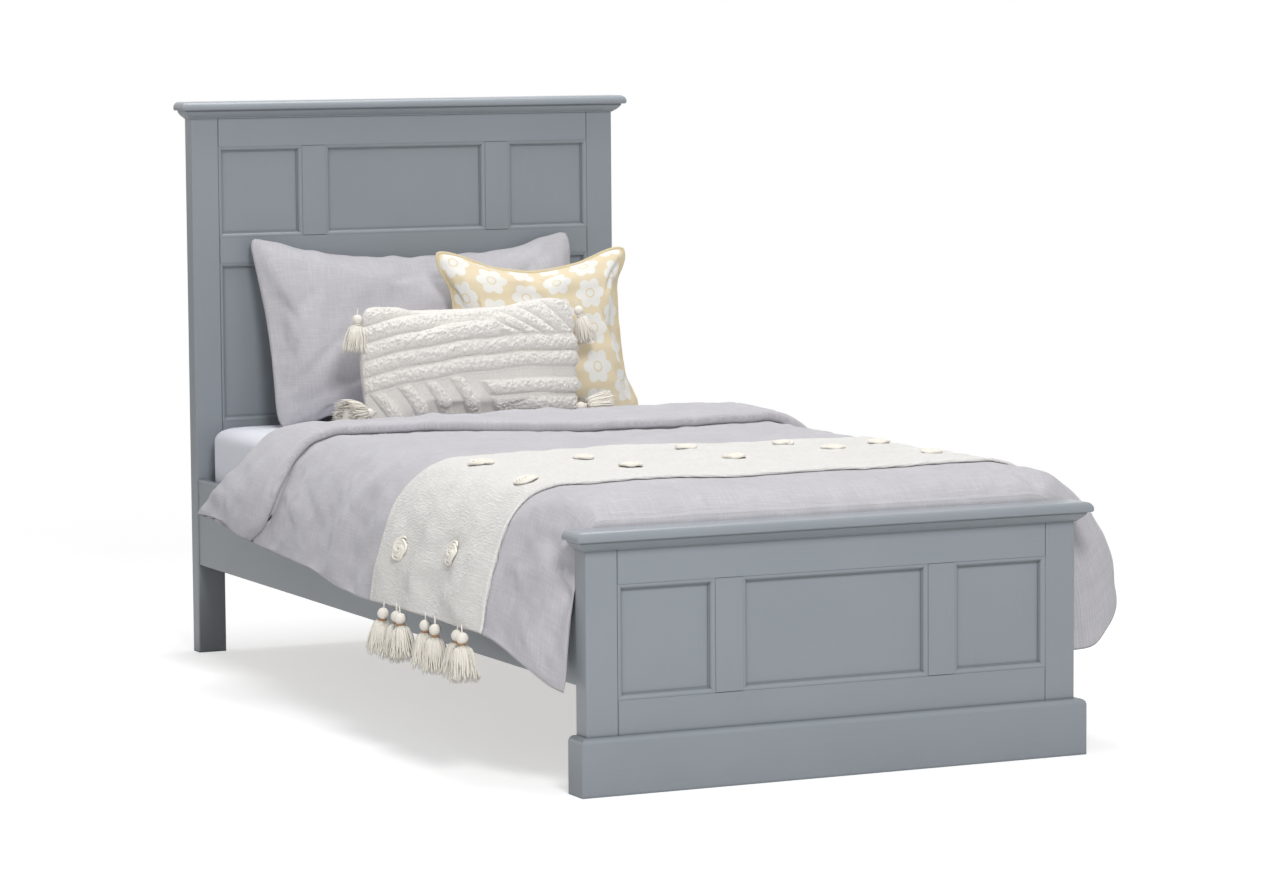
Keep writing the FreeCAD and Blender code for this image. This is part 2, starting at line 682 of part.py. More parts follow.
def make_hook_plate():
    """Plate at the foot end of the left side rail, with two hooks towards the post."""
    body = new_body("hook_plate_blank", ("-" + RAIL_OUTER, FOOT_BACK, PLATE_Z))
    plate = new_sketch(body, "XZ_Plane")
    draw_rectangle(plate, "side_rail_thickness / 2 - plate_width / 2", "-plate_height / 2",
                   "plate_width", "plate_height")
    add_pad(body, plate, "plate_thickness", backwards=True)
    inner = "side_rail_thickness / 2 - hook_thickness / 2"
    hooks = new_sketch(body, "YZ_Plane", inner)
    for side in ("-", "+"):
        foot = "%s hook_spacing / 2" % side
        tail = "-%s" % HOOK_REACH
        step = "-(plate_thickness + hook_play)"
        draw_outline(hooks, [
            ("0", foot), ("0", foot + " + hook_neck"), (tail, foot + " + hook_neck"),
            (tail, foot + " - hook_drop"), (step, foot + " - hook_drop"), (step, foot),
        ])
    add_pad(body, hooks, "hook_thickness")
    add_countersunk(body, "XZ_Plane", "0", PLATE_SCREWS, "plate_thickness")
    return body


def make_slot_plate():
    """Plate in the back of the left footboard post, with a slot for each hook."""
    body = new_body("slot_plate_blank", (
        "-" + RAIL_OUTER, "%s - plate_thickness" % FOOT_BACK, PLATE_Z))
    plate = new_sketch(body, "XZ_Plane")
    draw_rectangle(plate, "side_rail_thickness / 2 - plate_width / 2", "-plate_height / 2",
                   "plate_width", "plate_height")
    add_pad(body, plate, "plate_thickness", backwards=True)
    slots = new_sketch(body, "XZ_Plane")
    for side in ("-", "+"):
        draw_rectangle(slots, "side_rail_thickness / 2 - hook_thickness / 2 - hook_play",
                       "%s hook_spacing / 2" % side, "hook_thickness + 2 * hook_play",
                       "hook_neck + hook_drop + hook_play")
    add_pocket(body, slots, "plate_thickness")
    add_countersunk(body, "XZ_Plane", "-plate_thickness", PLATE_SCREWS, "plate_thickness",
                    backwards=True)
    return body


def flat(points):
    """Whether points lie in one plane."""
    first = points[0]
    normal = V(0, 0, 0)
    for a, b in zip(points[1:], points[2:]):
        normal += (a - first).cross(b - first)
    if normal.Length < FLATNESS:
        return False
    normal.normalize()
    return all(abs((point - first).dot(normal)) < FLATNESS for point in points)


FLATNESS = 1e-6


def patch(points):
    """Flat faces over an outline: one, or strips across it where it isn't flat."""
    if flat(points):
        return [Part.Face(Part.makePolygon(points + points[:1]))]
    if len(points) == 3:
        return []
    faces = []
    last = len(points) - 1
    for i in range(last // 2):
        a, b, c, d = points[i], points[i + 1], points[last - i - 1], points[last - i]
        faces += patch([a, b, d]) + patch([b, c, d])
    return faces


def skin(rings):
    """A solid with flat faces between rings of equally many points, closed at its ends."""
    faces = patch(rings[0]) + patch(rings[-1])
    for low, high in zip(rings, rings[1:]):
        for i in range(len(low)):
            faces += patch([low[i - 1], low[i], high[i], high[i - 1]])
    shell = Part.Shell(faces)
    shell.sewShape()
    solid = Part.Solid(shell)
    if solid.Volume < 0:
        solid.reverse()
    return solid


TURNS = [2 * math.pi * i / ROUND_SIDES for i in range(ROUND_SIDES)]


def round_skin(rings, at, direction):
    """A solid of eight sides through rings, each (radius, distance along the direction)."""
    shape = skin([[V(radius * math.cos(turn), radius * math.sin(turn), distance)
                   for turn in TURNS] for radius, distance in rings])
    shape.Placement = FreeCAD.Placement(at, FreeCAD.Rotation(V(0, 0, 1), direction))
    return shape


def screw_shape(head_at, direction, length):
    """A countersunk screw, without its thread, with the top of its head at a point."""
    shank = size("screw_radius")
    rings = [(size("screw_head_radius"), 0), (shank, number(NECK_DEPTH)),
             (shank, length - 2 * shank), (shank / 8, length)]
    return round_skin(rings, head_at, direction)


def both_sides(shapes, middle=None):
    """The shapes and their mirror images across the bed and, with a middle, along it."""
    everything = list(shapes)
    everything += [shape.mirror(V(0, 0, 0), V(1, 0, 0)) for shape in everything]
    if middle is not None:
        everything += [shape.mirror(V(0, middle, 0), V(0, 1, 0)) for shape in everything]
    return everything


def make_hardware():
    """Plates and screws: one corner is worked out and the other three are its images."""
    doc.recompute()
    foot = number(FOOT_BACK)
    middle = foot + size("clear_length") / 2
    x = -number(RAIL_OUTER) + size("side_rail_thickness") / 2
    half = size("screw_spacing") / 2
    hooks = make_hook_plate()
    slots = make_slot_plate()
    doc.recompute()
    feature("rail_hook_plates", Part.makeCompound(both_sides([hooks.Shape], middle)))
    feature("post_slot_plates", Part.makeCompound(both_sides([slots.Shape], middle)))
    screws = []
    for z in (number(PLATE_Z) - half, number(PLATE_Z) + half):
        screws.append(screw_shape(V(x, foot, z), V(0, 1, 0), size("screw_length")))
        screws.append(screw_shape(V(x, foot, z), V(0, -1, 0), size("screw_length")))
    feature("plate_screws", Part.makeCompound(both_sides(screws, middle)))
    long_screws = []
    step = number(LEDGE_SCREW_STEP)
    first = foot + size("ledge_end_gap") + number(LEDGE_SCREW_FIRST)
    z = number(LEDGE_Z) + size("ledge_height") / 2
    inner = -number(RAIL_INNER) + size("ledge_width")
    for i in range(int(size("ledge_screw_count"))):
        head = V(inner, first + i * step, z)
        long_screws.append(screw_shape(head, V(-1, 0, 0), size("ledge_screw_length")))
    feature("ledge_screws", Part.makeCompound(both_sides(long_screws)))


def make_slats():
    """The slats, evenly spaced, and the two tapes that hold them apart."""
    blank = make_slat()
    doc.recompute()
    count = int(size("slat_count"))
    low = number(FOOT_BACK) + size("slat_first")
    high = number(HEAD_FACE) - size("slat_first")
    step = (high - low) / (count - 1)
    slats = []
    for i in range(count):
        slat = blank.Shape.copy()
        slat.translate(V(0, low + i * step, 0))
        slats.append(slat)
    feature("slats", Part.makeCompound(slats))
    wide = size("tape_width")
    left = -number(RAIL_INNER) + size("tape_inset") - wide / 2
    top = number(SLAT_Z) + size("slat_thickness")
    edge = size("slat_width") / 2
    corner = V(left, low - edge, top)
    tape = Part.makeBox(wide, high - low + 2 * edge, size("tape_thickness"), corner)
    feature("slat_tapes", Part.makeCompound(both_sides([tape])))


# ---------------------------------------------------------------------------------------
# Mattress and fitted sheet
# ---------------------------------------------------------------------------------------
SHEET_HALF = "(%s - mattress_side_gap)" % RAIL_INNER
SHOULDER_X = "(%s - mattress_round - sheet_thickness)" % SHEET_HALF   # where it rounds off
SHEET_LENGTH = "(clear_length - 2 * mattress_end_gap)"
SHEET_TOP = "(%s + mattress_height + sheet_thickness)" % MATTRESS_Z


def soft_block(label, corner, width, length, height, radius):
    """A block with rounded upper edges and upright corners."""
    body = new_body(label, corner)
    sketch = new_sketch(body, "XY_Plane")
    draw_rectangle(sketch, "0", "0", width, length)
    add_pad(body, sketch, height)
    doc.recompute()
    top = body.Shape.BoundBox.ZMax - number(corner[2])
    add_fillet(body, lambda a, b: near(a.z, top) or near(b.z, top), radius)
    return body


def make_mattress():
    """The mattress, and the sheet as a skin round its top and sides."""
    end = "(%s + mattress_end_gap)" % FOOT_BACK
    inset = "sheet_thickness"
    mattress = soft_block(
        "mattress", ("-%s + %s" % (SHEET_HALF, inset), "%s + %s" % (end, inset), MATTRESS_Z),
        "2 * (%s - %s)" % (SHEET_HALF, inset), "%s - 2 * %s" % (SHEET_LENGTH, inset),
        "mattress_height", "mattress_round")
    outside = soft_block(
        "sheet_outside", ("-" + SHEET_HALF, end, MATTRESS_Z + " + sheet_turn_up"),
        "2 * " + SHEET_HALF, SHEET_LENGTH,
        "mattress_height + sheet_thickness - sheet_turn_up",
        "mattress_round + sheet_thickness")
    cut = doc.addObject("Part::Cut", "fitted_sheet")
    cut.Label = "fitted_sheet"
    cut.Base = outside
    cut.Tool = mattress
    return mattress


# ---------------------------------------------------------------------------------------
# Duvet and throw: sections across the bed, lofted along it
# ---------------------------------------------------------------------------------------
DUVET_BASE = "(%s + rest_gap)" % SHEET_TOP
WAVE_STEPS = 4                                  # sections to one fold along the hem
SHOULDER_STEPS = 5                              # flats to the curve over the shoulder


def fall_angle(side, centre, radius, hem):
    """Direction, from the shoulder's centre, of the point where a straight line from
    the hem touches the shoulder's arc."""
    out = side * (hem[0] - centre[0])
    down = hem[1] - centre[1]
    return math.atan2(down, out) + math.acos(radius / math.hypot(out, down))


def draped_ring(y, base, top, hems, radius):
    """Corners of a section of cloth over the mattress, at one place along the bed.

    The hems are the outer (x, z) of the left and right edges, the base is its underside
    on the mattress and the radius that of its outer shoulder.
    """
    corner = number(SHOULDER_X)
    outer, inner = [], []
    for side, hem in zip((-1, 1), hems):
        centre = (side * corner, top - radius)
        angle = fall_angle(side, centre, radius, hem)
        across = (side * math.cos(angle), math.sin(angle))
        for points, bend in ((outer, radius), (inner, radius - top + base)):
            shift = bend - radius
            half = [(hem[0] + across[0] * shift, hem[1] + across[1] * shift)]
            for i in range(SHOULDER_STEPS + 1):
                turn = angle + (math.pi / 2 - angle) * i / SHOULDER_STEPS
                half.append((centre[0] + side * bend * math.cos(turn),
                             centre[1] + bend * math.sin(turn)))
            points.append(half)
    path = outer[0] + outer[1][::-1] + inner[1] + inner[0][::-1]
    return [V(x, y, z) for x, z in path]


def duvet_stations():
    """Places along the duvet: (y, top, (left hem, right hem), shoulder radius)."""
    base = number(DUVET_BASE)
    foot = number(FOOT_BACK) + size("duvet_foot_gap")
    head = number(HEAD_FACE) - size("duvet_head_gap")
    flap = head - size("duvet_flap_depth")
    roll = head - size("duvet_roll")
    tucked = foot + size("duvet_tuck")
    rail = number(RAIL_OUTER)
    reach = rail + size("duvet_flare")
    step = size("duvet_flap_thickness")
    thin = base + size("duvet_edge_thickness")
    top = base + size("duvet_thickness")
    high = top + step
    radius = size("duvet_shoulder_radius")
    hem = top - size("duvet_drop")
    flap_hem = high - size("duvet_flap_drop")
    point = thin - size("duvet_corner_drop")

    def even(y, level, low, curve, bulge=0):
        spread = reach + bulge
        return (y, level, ((-spread, low), (spread, low)), curve)

    points = ((-rail - size("duvet_left_corner_flare"), point),
              (rail + size("duvet_right_corner_flare"), point))
    between = tuple(((x + math.copysign(reach, x)) / 2, (z + hem) / 2) for x, z in points)
    stations = [
        (foot, thin, points, size("duvet_foot_radius")),
        ((foot + tucked) / 2, (thin + top) / 2, between,
         (radius + size("duvet_foot_radius")) / 2),
        even(tucked, top, hem, radius),
    ]
    still = number(FOOT_BACK) + size("throw_foot_gap") + size("throw_width")
    count = WAVE_STEPS * int(size("duvet_wave_count"))
    for i in range(count + 1):
        bulge = size("duvet_wave") * math.sin(2 * math.pi * i / WAVE_STEPS)
        y = still + (flap - step - still) * i / count
        stations.append(even(y, top, hem, radius, bulge))
    stations += [
        even(flap, high, flap_hem, radius + step, step / 2),
        even((flap + roll) / 2, high, flap_hem, radius + step, step),
        even(roll, high, flap_hem, radius + step, step / 2),
        even(head, high - step, flap_hem, radius),
    ]
    return stations


def make_duvet():
    """The duvet: over the mattress and down both sides, turned down at the head."""
    base = number(DUVET_BASE)
    feature("duvet", skin([draped_ring(y, base, top, hems, radius)
                           for y, top, hems, radius in duvet_stations()]))


# The tassels hang in uneven clusters and fan out within each: a share of the hem's
# length, and the degrees by which a tassel swings along the bed.
TASSELS = [(0.108, -8), (0.175, 8), (0.336, -3), (0.449, 3), (0.643, -14), (0.705, 0),
           (0.789, 14)]


def make_throw():
    """The throw, straight across the bed, and the tassels under its two hems."""
    low = number(FOOT_BACK) + size("throw_foot_gap")
    high = low + size("throw_width")
    under = duvet_stations()[2]
    level, radius = under[1], under[3]
    grow = size("rest_gap")
    thick = size("throw_thickness")
    hems, middles = [], []
    for side, hem in zip((-1, 1), under[2]):
        centre = (side * number(SHOULDER_X), level - radius)
        angle = fall_angle(side, centre, radius, hem)
        out = V(side * math.cos(angle), 0, math.sin(angle))
        edge = V(hem[0], 0, hem[1]) + out * (grow + thick)
        hems.append((edge.x, edge.z))
        middles.append(edge - out * (thick / 2))
    base = level + grow
    throw = skin([draped_ring(y, base, base + thick, hems, radius + grow + thick)
                  for y in (low, high)])
    feature("throw", throw)
    tassels = []
    for middle in middles:
        for share, swing in TASSELS:
            at = middle + V(0, low + share * (high - low), 0)
            swung = math.radians(swing)
            tassel = hem_tassel(at, V(0, math.sin(swung), -math.cos(swung)),
                                math.copysign(1, middle.x))
            tassels.append(tassel.cut(throw).Solids[0])
    feature("throw_tassels", Part.makeCompound(tassels))


def tassel_rings(skirt):
    """String, ball, bound neck and a skirt that widens downwards: (radius, distance)."""
    string = size("tassel_string_radius")
    ball = size("tassel_ball_radius")
    neck = size("tassel_neck_radius")
    length = size("tassel_skirt_length")
    middle = size("tassel_string_length") + ball
    shoulder = middle + 2 * ball
    return [
        (string, -string), (string, middle - ball), (ball * 0.8, middle - ball * 0.6),
        (ball, middle), (neck, middle + ball), (skirt * 0.6, shoulder),
        (skirt * 0.9, shoulder + length / 2), (skirt, shoulder + length),
    ]


def hem_tassel(at, direction, side):
    """A tassel on the hem, flattened, with ball and skirt outside the duvet's own hem."""
    along = direction.cross(V(side, 0, 0))
    depth = size("tassel_depth")
    rings = []
    for radius, distance in tassel_rings(size("tassel_skirt_radius")):
        shift = depth + size("rest_gap") if distance > 0 else 0
        rings.append([at + V(side * (shift + min(radius, depth) * math.cos(turn)), 0, 0)
                      + along * (radius * math.sin(turn)) + direction * distance
                      for turn in TURNS])
    return skin(rings)


# ---------------------------------------------------------------------------------------
# Cushions: outlines with drawn-in sides, lofted from the seam up to the crown
# ---------------------------------------------------------------------------------------
CROWN_STEPS = [1.0, 0.97, 0.9, 0.78, 0.6, 0.35]  # size of each outline against the seam's
SIDE_STEPS = 6                                   # flats to each side of an outline


def cushion_outline(width, height, level, share):
    """One outline, at a level above the seam: four curved sides between four points."""
    x = width / 2 * share
    y = height / 2 * share
    pull = size("draw_in") * (2 * share ** 2 - 1) - height / 8 * share * (1 - share)
    ring = []
    for i in range(SIDE_STEPS):
        along = 2 * i / SIDE_STEPS - 1
        inward = pull * (1 - along ** 2)
        ring.append((x * along, -y + inward, y * along, x - inward))
    return ([V(a, b, level) for a, b, c, d in ring] + [V(d, c, level) for a, b, c, d in ring]
            + [V(-a, -b, level) for a, b, c, d in ring]
            + [V(-d, -c, level) for a, b, c, d in ring])


def cushion_shape(width, height, thick):
    """A filled cushion, front and back crowned alike, in its own flat frame."""
    levels = [(share, thick / 2 * (1 - share ** 2) ** 0.55) for share in CROWN_STEPS]
    back = [cushion_outline(width, height, -level, share) for share, level in levels[::-1]]
    front = [cushion_outline(width, height, level, share) for share, level in levels[1:]]
    return skin(back + front)


def stand_up(shape, x, y, lean, height):
    """A cushion stood on the sheet at (x, y) and leant back by some degrees."""
    turn = FreeCAD.Rotation(V(1, 0, 0), 90 - lean)
    rise = height / 2 * math.cos(math.radians(lean))
    z = number(DUVET_BASE) + rise
    shape.Placement = FreeCAD.Placement(V(x, y, z), turn)
    return shape


def make_cushions():
    """The sleeping pillow and the two cushions in front of it."""
    y = number(HEAD_FACE) - size("pillow_gap")
    pillow = cushion_shape(size("pillow_width"), size("pillow_height"),
                           size("pillow_thickness"))
    feature("pillow", stand_up(pillow, 0, y, size("pillow_lean"), size("pillow_height")))
    y -= size("print_gap")
    printed = cushion_shape(size("print_width"), size("print_height"),
                            size("print_thickness"))
    feature("print_cushion", stand_up(printed, size("print_shift"), y,
                                      size("print_lean"), size("print_height")))
    y -= size("tufted_gap")
    wide = size("tufted_width")
    high = size("tufted_height")
    tufted = stand_up(tufted_shape(wide, high, size("tufted_thickness")),
                      size("tufted_shift"), y, size("tufted_lean"), high)
    feature("tufted_cushion", tufted)
    rings = tassel_rings(size("cushion_tassel_radius"))
    inset = size("tassel_string_length")
    tassels = []
    for side in (-1, 1):
        top_corner = V(side * (wide / 2 - inset), high / 2 - inset, 0)
        low_corner = V(side * (wide / 2 - inset), size("tassel_ball_radius") - high / 2, 0)
        for corner, rise in ((top_corner, -1 / HANG_OUT), (low_corner, LIE_UP)):
            tassel = round_skin(rings, tufted.Placement.multVec(corner), V(side, 0, rise))
            tassels.append(tassel.cut(tufted).Solids[0])
    feature("cushion_tassels", Part.makeCompound(tassels))


HANG_OUT = 0.35       # a tassel at an upper corner hangs this much outwards for each down
LIE_UP = 0.1          # one at a lower corner lies on the sheet and rises this much


def tufted_shape(width, height, thick):
    """A cushion whose front is quilted into ridges, with a welt all round."""
    steps = RIDGE_STEPS * (int(size("channel_count")) + 1)
    pull = size("draw_in")
    welt = size("welt_thickness") / 2
    dip = size("channel_depth") / (thick / 2)
    turns = [math.pi * i / CROWN_FLATS for i in range(CROWN_FLATS + 1)]
    rings = []
    for i in range(steps + 1):
        share = 2 * i / steps - 1
        middle = pull * share ** 3
        half = width / 2 - pull * (1 - share ** 2)
        crown = welt + (thick / 2 - welt) * math.sqrt(1 - share ** 2)
        ridge = abs(math.sin(math.pi * i / RIDGE_STEPS))
        front = crown * (1 - dip * (1 - ridge))
        ring = []
        for sign, bulge in ((1, front), (-1, -crown)):
            for turn in turns:
                out = math.sin(turn) ** 0.7
                ring.append(V(-sign * half * math.cos(turn), height / 2 * share - middle * out,
                              sign * welt + (bulge - sign * welt) * out))
        rings.append(ring)
    return skin(rings)


CROWN_FLATS = 8                                 # flats across the lumbar cushion
RIDGE_STEPS = 4                                 # sections to one ridge


# ---------------------------------------------------------------------------------------
# The bed
# ---------------------------------------------------------------------------------------
HEAD_RAILS = {
    "headboard_top_rail": (HEAD_TOP_Z, "top_rail_height", ("low",)),
    "headboard_middle_rail": (HEAD_MIDDLE_Z, "middle_rail_height", ("low", "high")),
    "headboard_bottom_rail": (
        "rail_floor_gap", "(%s - rail_floor_gap)" % HEAD_LOWER_Z, ("high",)),
}
FOOT_RAILS = {
    "footboard_top_rail": (FOOT_TOP_Z, "top_rail_height", ("low",)),
    "footboard_bottom_rail": (
        "(%s - foot_rail_height)" % FOOT_PANEL_Z, "foot_rail_height", ("high",)),
}
# rows of panels: prefix, face of the board, underside and height of the opening
PANEL_ROWS = [
    ("headboard_upper", HEAD_FACE, HEAD_UPPER_Z, "upper_panel_height"),
    ("headboard_lower", HEAD_FACE, HEAD_LOWER_Z, "lower_panel_height"),
    ("footboard", FOOT_FACE, FOOT_PANEL_Z, "foot_panel_height"),
]


def make_board_frames():
    """Posts, rails, stiles, panels and mouldings of the headboard and the footboard."""
    head_rails = [rail[:2] for rail in HEAD_RAILS.values()]
    foot_rails = [rail[:2] for rail in FOOT_RAILS.values()]
    head_post = make_post("headboard_post_left", "head_post_depth", "head_post_height",
                          HEAD_FACE, head_rails, HEAD_LOWER_Z, HEAD_TOP_Z, "0")
    foot_post = make_post("footboard_post_left", "foot_post_depth", "foot_post_height",
                          FOOT_FACE, foot_rails, FOOT_PANEL_Z, FOOT_TOP_Z,
                          "-foot_post_depth")
    mirrored("headboard_post_right", head_post)
    mirrored("footboard_post_right", foot_post)
    for rails, face in ((HEAD_RAILS, HEAD_FACE), (FOOT_RAILS, FOOT_FACE)):
        for label, (low, height, grooves) in rails.items():
            make_rail(label, face, low, height, grooves)
    for prefix, face, low, height in PANEL_ROWS:
        make_stile(prefix + "_stile_left", -1, face, low, height)
        make_stile(prefix + "_stile_right", 1, face, low, height)
        for place in PANEL_PLACES:
            make_panel("%s_panel_%s" % (prefix, place), place, face, low, height)
            panel_moulding("%s_moulding_%s" % (prefix, place), place, face, low, height)


def make_trim():
    """Crown mouldings, caps and the plinth."""
    boards = (("headboard", HEAD_FACE, "head_post_depth", "head_post_height"),
              ("footboard", FOOT_FACE, "foot_post_depth", "foot_post_height"))
    for board, face, depth, height in boards:
        outside_moulding(board + "_crown_moulding", crown_profile(), face, depth, height)
        make_cap(board + "_cap", face, depth, height + " + crown_height")
    outside_moulding("footboard_plinth", plinth_profile(), FOOT_FACE, "foot_post_depth", "0")


def make_base():
    """Side rails, ledges, slats and their fastenings."""
    mirrored("side_rail_right", make_side_rail("side_rail_left"))
    mirrored("slat_ledge_right", make_ledge("slat_ledge_left"))
    make_hardware()
    make_slats()


def pieces():
    """Every finished piece; blanks and the insides of other features stay behind."""
    kept = []
    for thing in doc.Objects:
        if thing.TypeId in ("PartDesign::Body", "Part::Mirroring", "Part::Cut",
                            "Part::Feature"):
            if not (thing.Label.endswith("_blank") or thing.Label == "sheet_outside"):
                kept.append(thing)
    return kept


def check_document():
    """Stops on a failed feature or on a piece that is not a sound solid."""
    for thing in doc.Objects:
        if "Invalid" in thing.State or "Error" in thing.State:
            raise RuntimeError("%s failed: %s" % (thing.Label, thing.State))
    for piece in pieces():
        shape = piece.Shape
        if shape.isNull() or not shape.isValid() or shape.Volume <= 0:
            raise RuntimeError("%s is not a sound solid" % piece.Label)


make_board_frames()
make_trim()
make_base()
make_mattress()
make_duvet()
make_throw()
make_cushions()
doc.recompute()
check_document()

os.makedirs("parts", exist_ok=True)
for piece in pieces():
    piece.Shape.exportStep("parts/%s.step" % piece.Label)
    print(piece.Label, len(piece.Shape.Solids), "solid(s)")
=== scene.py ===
# %% [markdown]
# A single bed with a painted frame of rails and panels, dressed with a duvet, a throw
# and three cushions. The frame comes from the CAD model, with every piece where it is
# built. This lesson gives it paint, lights and a camera, and makes each soft piece anew,
# because cloth is what a CAD solid shows worst.

import bmesh
import bpy
import numpy as np
from mathutils import Matrix, Vector


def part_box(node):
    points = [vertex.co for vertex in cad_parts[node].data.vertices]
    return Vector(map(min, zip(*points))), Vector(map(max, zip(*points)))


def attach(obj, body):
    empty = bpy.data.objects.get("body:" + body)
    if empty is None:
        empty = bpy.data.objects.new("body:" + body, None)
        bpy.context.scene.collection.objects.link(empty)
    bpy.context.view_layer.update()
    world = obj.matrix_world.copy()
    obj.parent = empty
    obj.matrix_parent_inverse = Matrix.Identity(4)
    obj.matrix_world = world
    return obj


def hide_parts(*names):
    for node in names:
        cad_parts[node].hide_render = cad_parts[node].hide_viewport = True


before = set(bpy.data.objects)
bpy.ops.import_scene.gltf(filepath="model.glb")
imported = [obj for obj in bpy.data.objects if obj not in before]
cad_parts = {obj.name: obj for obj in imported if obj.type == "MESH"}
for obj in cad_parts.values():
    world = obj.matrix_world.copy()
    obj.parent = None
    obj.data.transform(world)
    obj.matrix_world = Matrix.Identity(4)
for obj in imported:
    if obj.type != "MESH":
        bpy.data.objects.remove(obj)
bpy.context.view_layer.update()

# %% [markdown]
# All lengths are metres. The CAD frame has its origin on the floor under the middle of
# the bed, with the headboard towards +Y. The places read off the photograph are measured
# from the outer face of the footboard, so one number turns them into the frame's own y.

# %% Places along the bed
FOOT = -0.9795          # outer face of the footboard
MATTRESS_HALF = 0.456   # half the mattress's width, as the CAD has it
SHEET_TOP = 0.476       # top of the sheet on the mattress


def along(places):
    """The frame's y of places measured from the footboard's outer face, in metres."""
    return np.asarray(places, float) + FOOT


# %% [markdown]
# The camera stands low at the left of the foot, far off with a long lens, which keeps
# the bed's edges nearly parallel. Its place, turn and lens were fitted to the straight
# edges of the bed in the photograph. Its three axes are written as the columns of a
# matrix: right, up and backwards.

# %% Camera
YAW, PITCH, ROLL = np.radians([25.13, 5.735, -0.42])
forward = np.array([np.sin(YAW) * np.cos(PITCH), np.cos(YAW) * np.cos(PITCH), -np.sin(PITCH)])
level = np.array([np.cos(YAW), -np.sin(YAW), 0])
upright = np.cross(level, forward)
right = np.cos(ROLL) * level + np.sin(ROLL) * upright
up = np.cos(ROLL) * upright - np.sin(ROLL) * level

lens = bpy.data.cameras.new("camera")
lens.sensor_width = 36
lens.lens = 125.97
lens.shift_x = 0.00654
lens.shift_y = 0.01499
lens.clip_end = 100
camera = bpy.data.objects.new("camera", lens)
place = np.eye(4)
place[:3, 0], place[:3, 1], place[:3, 2] = right, up, -forward
place[:3, 3] = (-3.603, -7.823, 1.3311)
camera.matrix_world = Matrix(place.tolist())
bpy.context.scene.collection.objects.link(camera)
bpy.context.scene.camera = camera
print("camera at", place[:3, 3])

# %% [markdown]
# Colours are written as the hex values a screen shows, so one function turns them into
# the linear values that Blender works with. Another adds a node to a material, sets its
# fields and inputs, and links an input where it is given another node's output. Every
# material starts from its place on the object or on the flat pattern, and ends in one
# surface with a bump.

# %% Helpers for materials
def colour(text):
    """A hex colour as linear red, green, blue and alpha, by the sRGB curve."""
    shown = np.array([int(text[i:i + 2], 16) for i in (1, 3, 5)]) / 255
    shown = np.where(shown <= 0.04045, shown / 12.92, ((shown + 0.055) / 1.055) ** 2.4)
    return (*shown.tolist(), 1.0)


def add(owner, kind, inputs=None, out=0, **fields):
    """Adds a node and gives one of its outputs, by name or number.

    Fields are set on the node. Inputs are set, or linked where the value is an output, by
    name or number, and a text is a hex colour.
    """
    tree = owner.node_tree
    new = tree.nodes.new("ShaderNode" + kind)
    for name, value in fields.items():
        setattr(new, name, value)
    for name, value in (inputs or {}).items():
        if isinstance(value, bpy.types.NodeSocket):
            tree.links.new(value, new.inputs[name])
        else:
            new.inputs[name].default_value = colour(value) if isinstance(value, str) else value
    return new.outputs[out] if new.outputs else new


def started(name, source="TexCoord", out="Object"):
    """A new material without nodes, and the place that its patterns are laid out on."""
    material = bpy.data.materials.new(name)
    material.use_nodes = True
    material.node_tree.nodes.clear()
    return material, add(material, source, out=out)


def ended(material, surface, height=None, strength=0.0, distance=0.0):
    """Ends a material: a surface, with a bump where a height is given, and the output."""
    if height is not None:
        surface["Normal"] = add(material, "Bump", {
            "Strength": strength, "Distance": distance, "Height": height})
    add(material, "OutputMaterial", {0: add(material, "BsdfPrincipled", surface)})
    return material


# %% [markdown]
# The frame is solid wood and board under sprayed satin paint. Up close such paint shows
# a faint orange peel and the grain that the primer didn't fill, along each piece. It
# also gathers a little dust tone, so that no face is one flat colour. The grain runs
# along the piece, so there is one paint for upright pieces and one for each level way.

# %% Satin paint
def satin_paint(name, grain):
    """Sprayed satin paint: soft highlights, grain lines stretched by the three factors."""
    material, place = started(name)
    stretched = add(material, "Mapping", {"Vector": place, "Scale": grain})
    # Grain lines are drawn 3 mm apart, coarser than the real 0.5 mm, so that they show.
    lines = add(material, "TexNoise", {"Vector": stretched, "Scale": 1.0, "Detail": 3.0})
    peel = add(material, "TexNoise", {"Vector": place, "Scale": 420.0, "Detail": 1.0})
    cloud = add(material, "TexNoise", {"Vector": place, "Scale": 5.0, "Detail": 2.0})
    # Painted shade: an ambient occlusion reading darkens inner corners and joints towards a
    # dark tone, which shows as thin darker lines.
    corners = add(material, "AmbientOcclusion", {"Distance": 0.006}, "AO", samples=8)
    closed = add(material, "MapRange", {0: corners, 1: 0.95, 2: 0.45, 4: 0.6})
    tone = add(material, "Mix", {0: cloud, 6: "#878E94", 7: "#90969C"}, 2, data_type="RGBA")
    faint = add(material, "Math", {0: lines, 1: 0.35}, operation="MULTIPLY")
    tone = add(material, "Mix", {0: faint, 6: tone, 7: "#80878D"}, 2, data_type="RGBA")
    # The painted corner shade is mixed into the paint's colour here.
    tone = add(material, "Mix", {0: closed, 6: tone, 7: "#50565B"}, 2, data_type="RGBA")
    relief = add(material, "Bump", {"Strength": 0.25, "Distance": 0.0004, "Height": lines})
    relief = add(material, "Bump", {"Strength": 0.12, "Distance": 0.0002, "Height": peel,
                                    "Normal": relief})
    return ended(material, {
        "Base Color": tone, "Roughness": add(material, "MapRange", {0: cloud, 3: 0.32, 4: 0.42}),
        "IOR": 1.48, "Coat Weight": 0.3, "Coat Roughness": 0.18, "Normal": relief})


FINE, LONG = 330.0, 9.0  # how close the grain lines lie across and along a piece
paints = {
    "upright": satin_paint("satin_paint_upright", (FINE, FINE, LONG)),
    "across": satin_paint("satin_paint_across", (LONG, FINE, FINE)),
    "along": satin_paint("satin_paint_along", (FINE, LONG, FINE)),
}
print("paints:", list(paints))

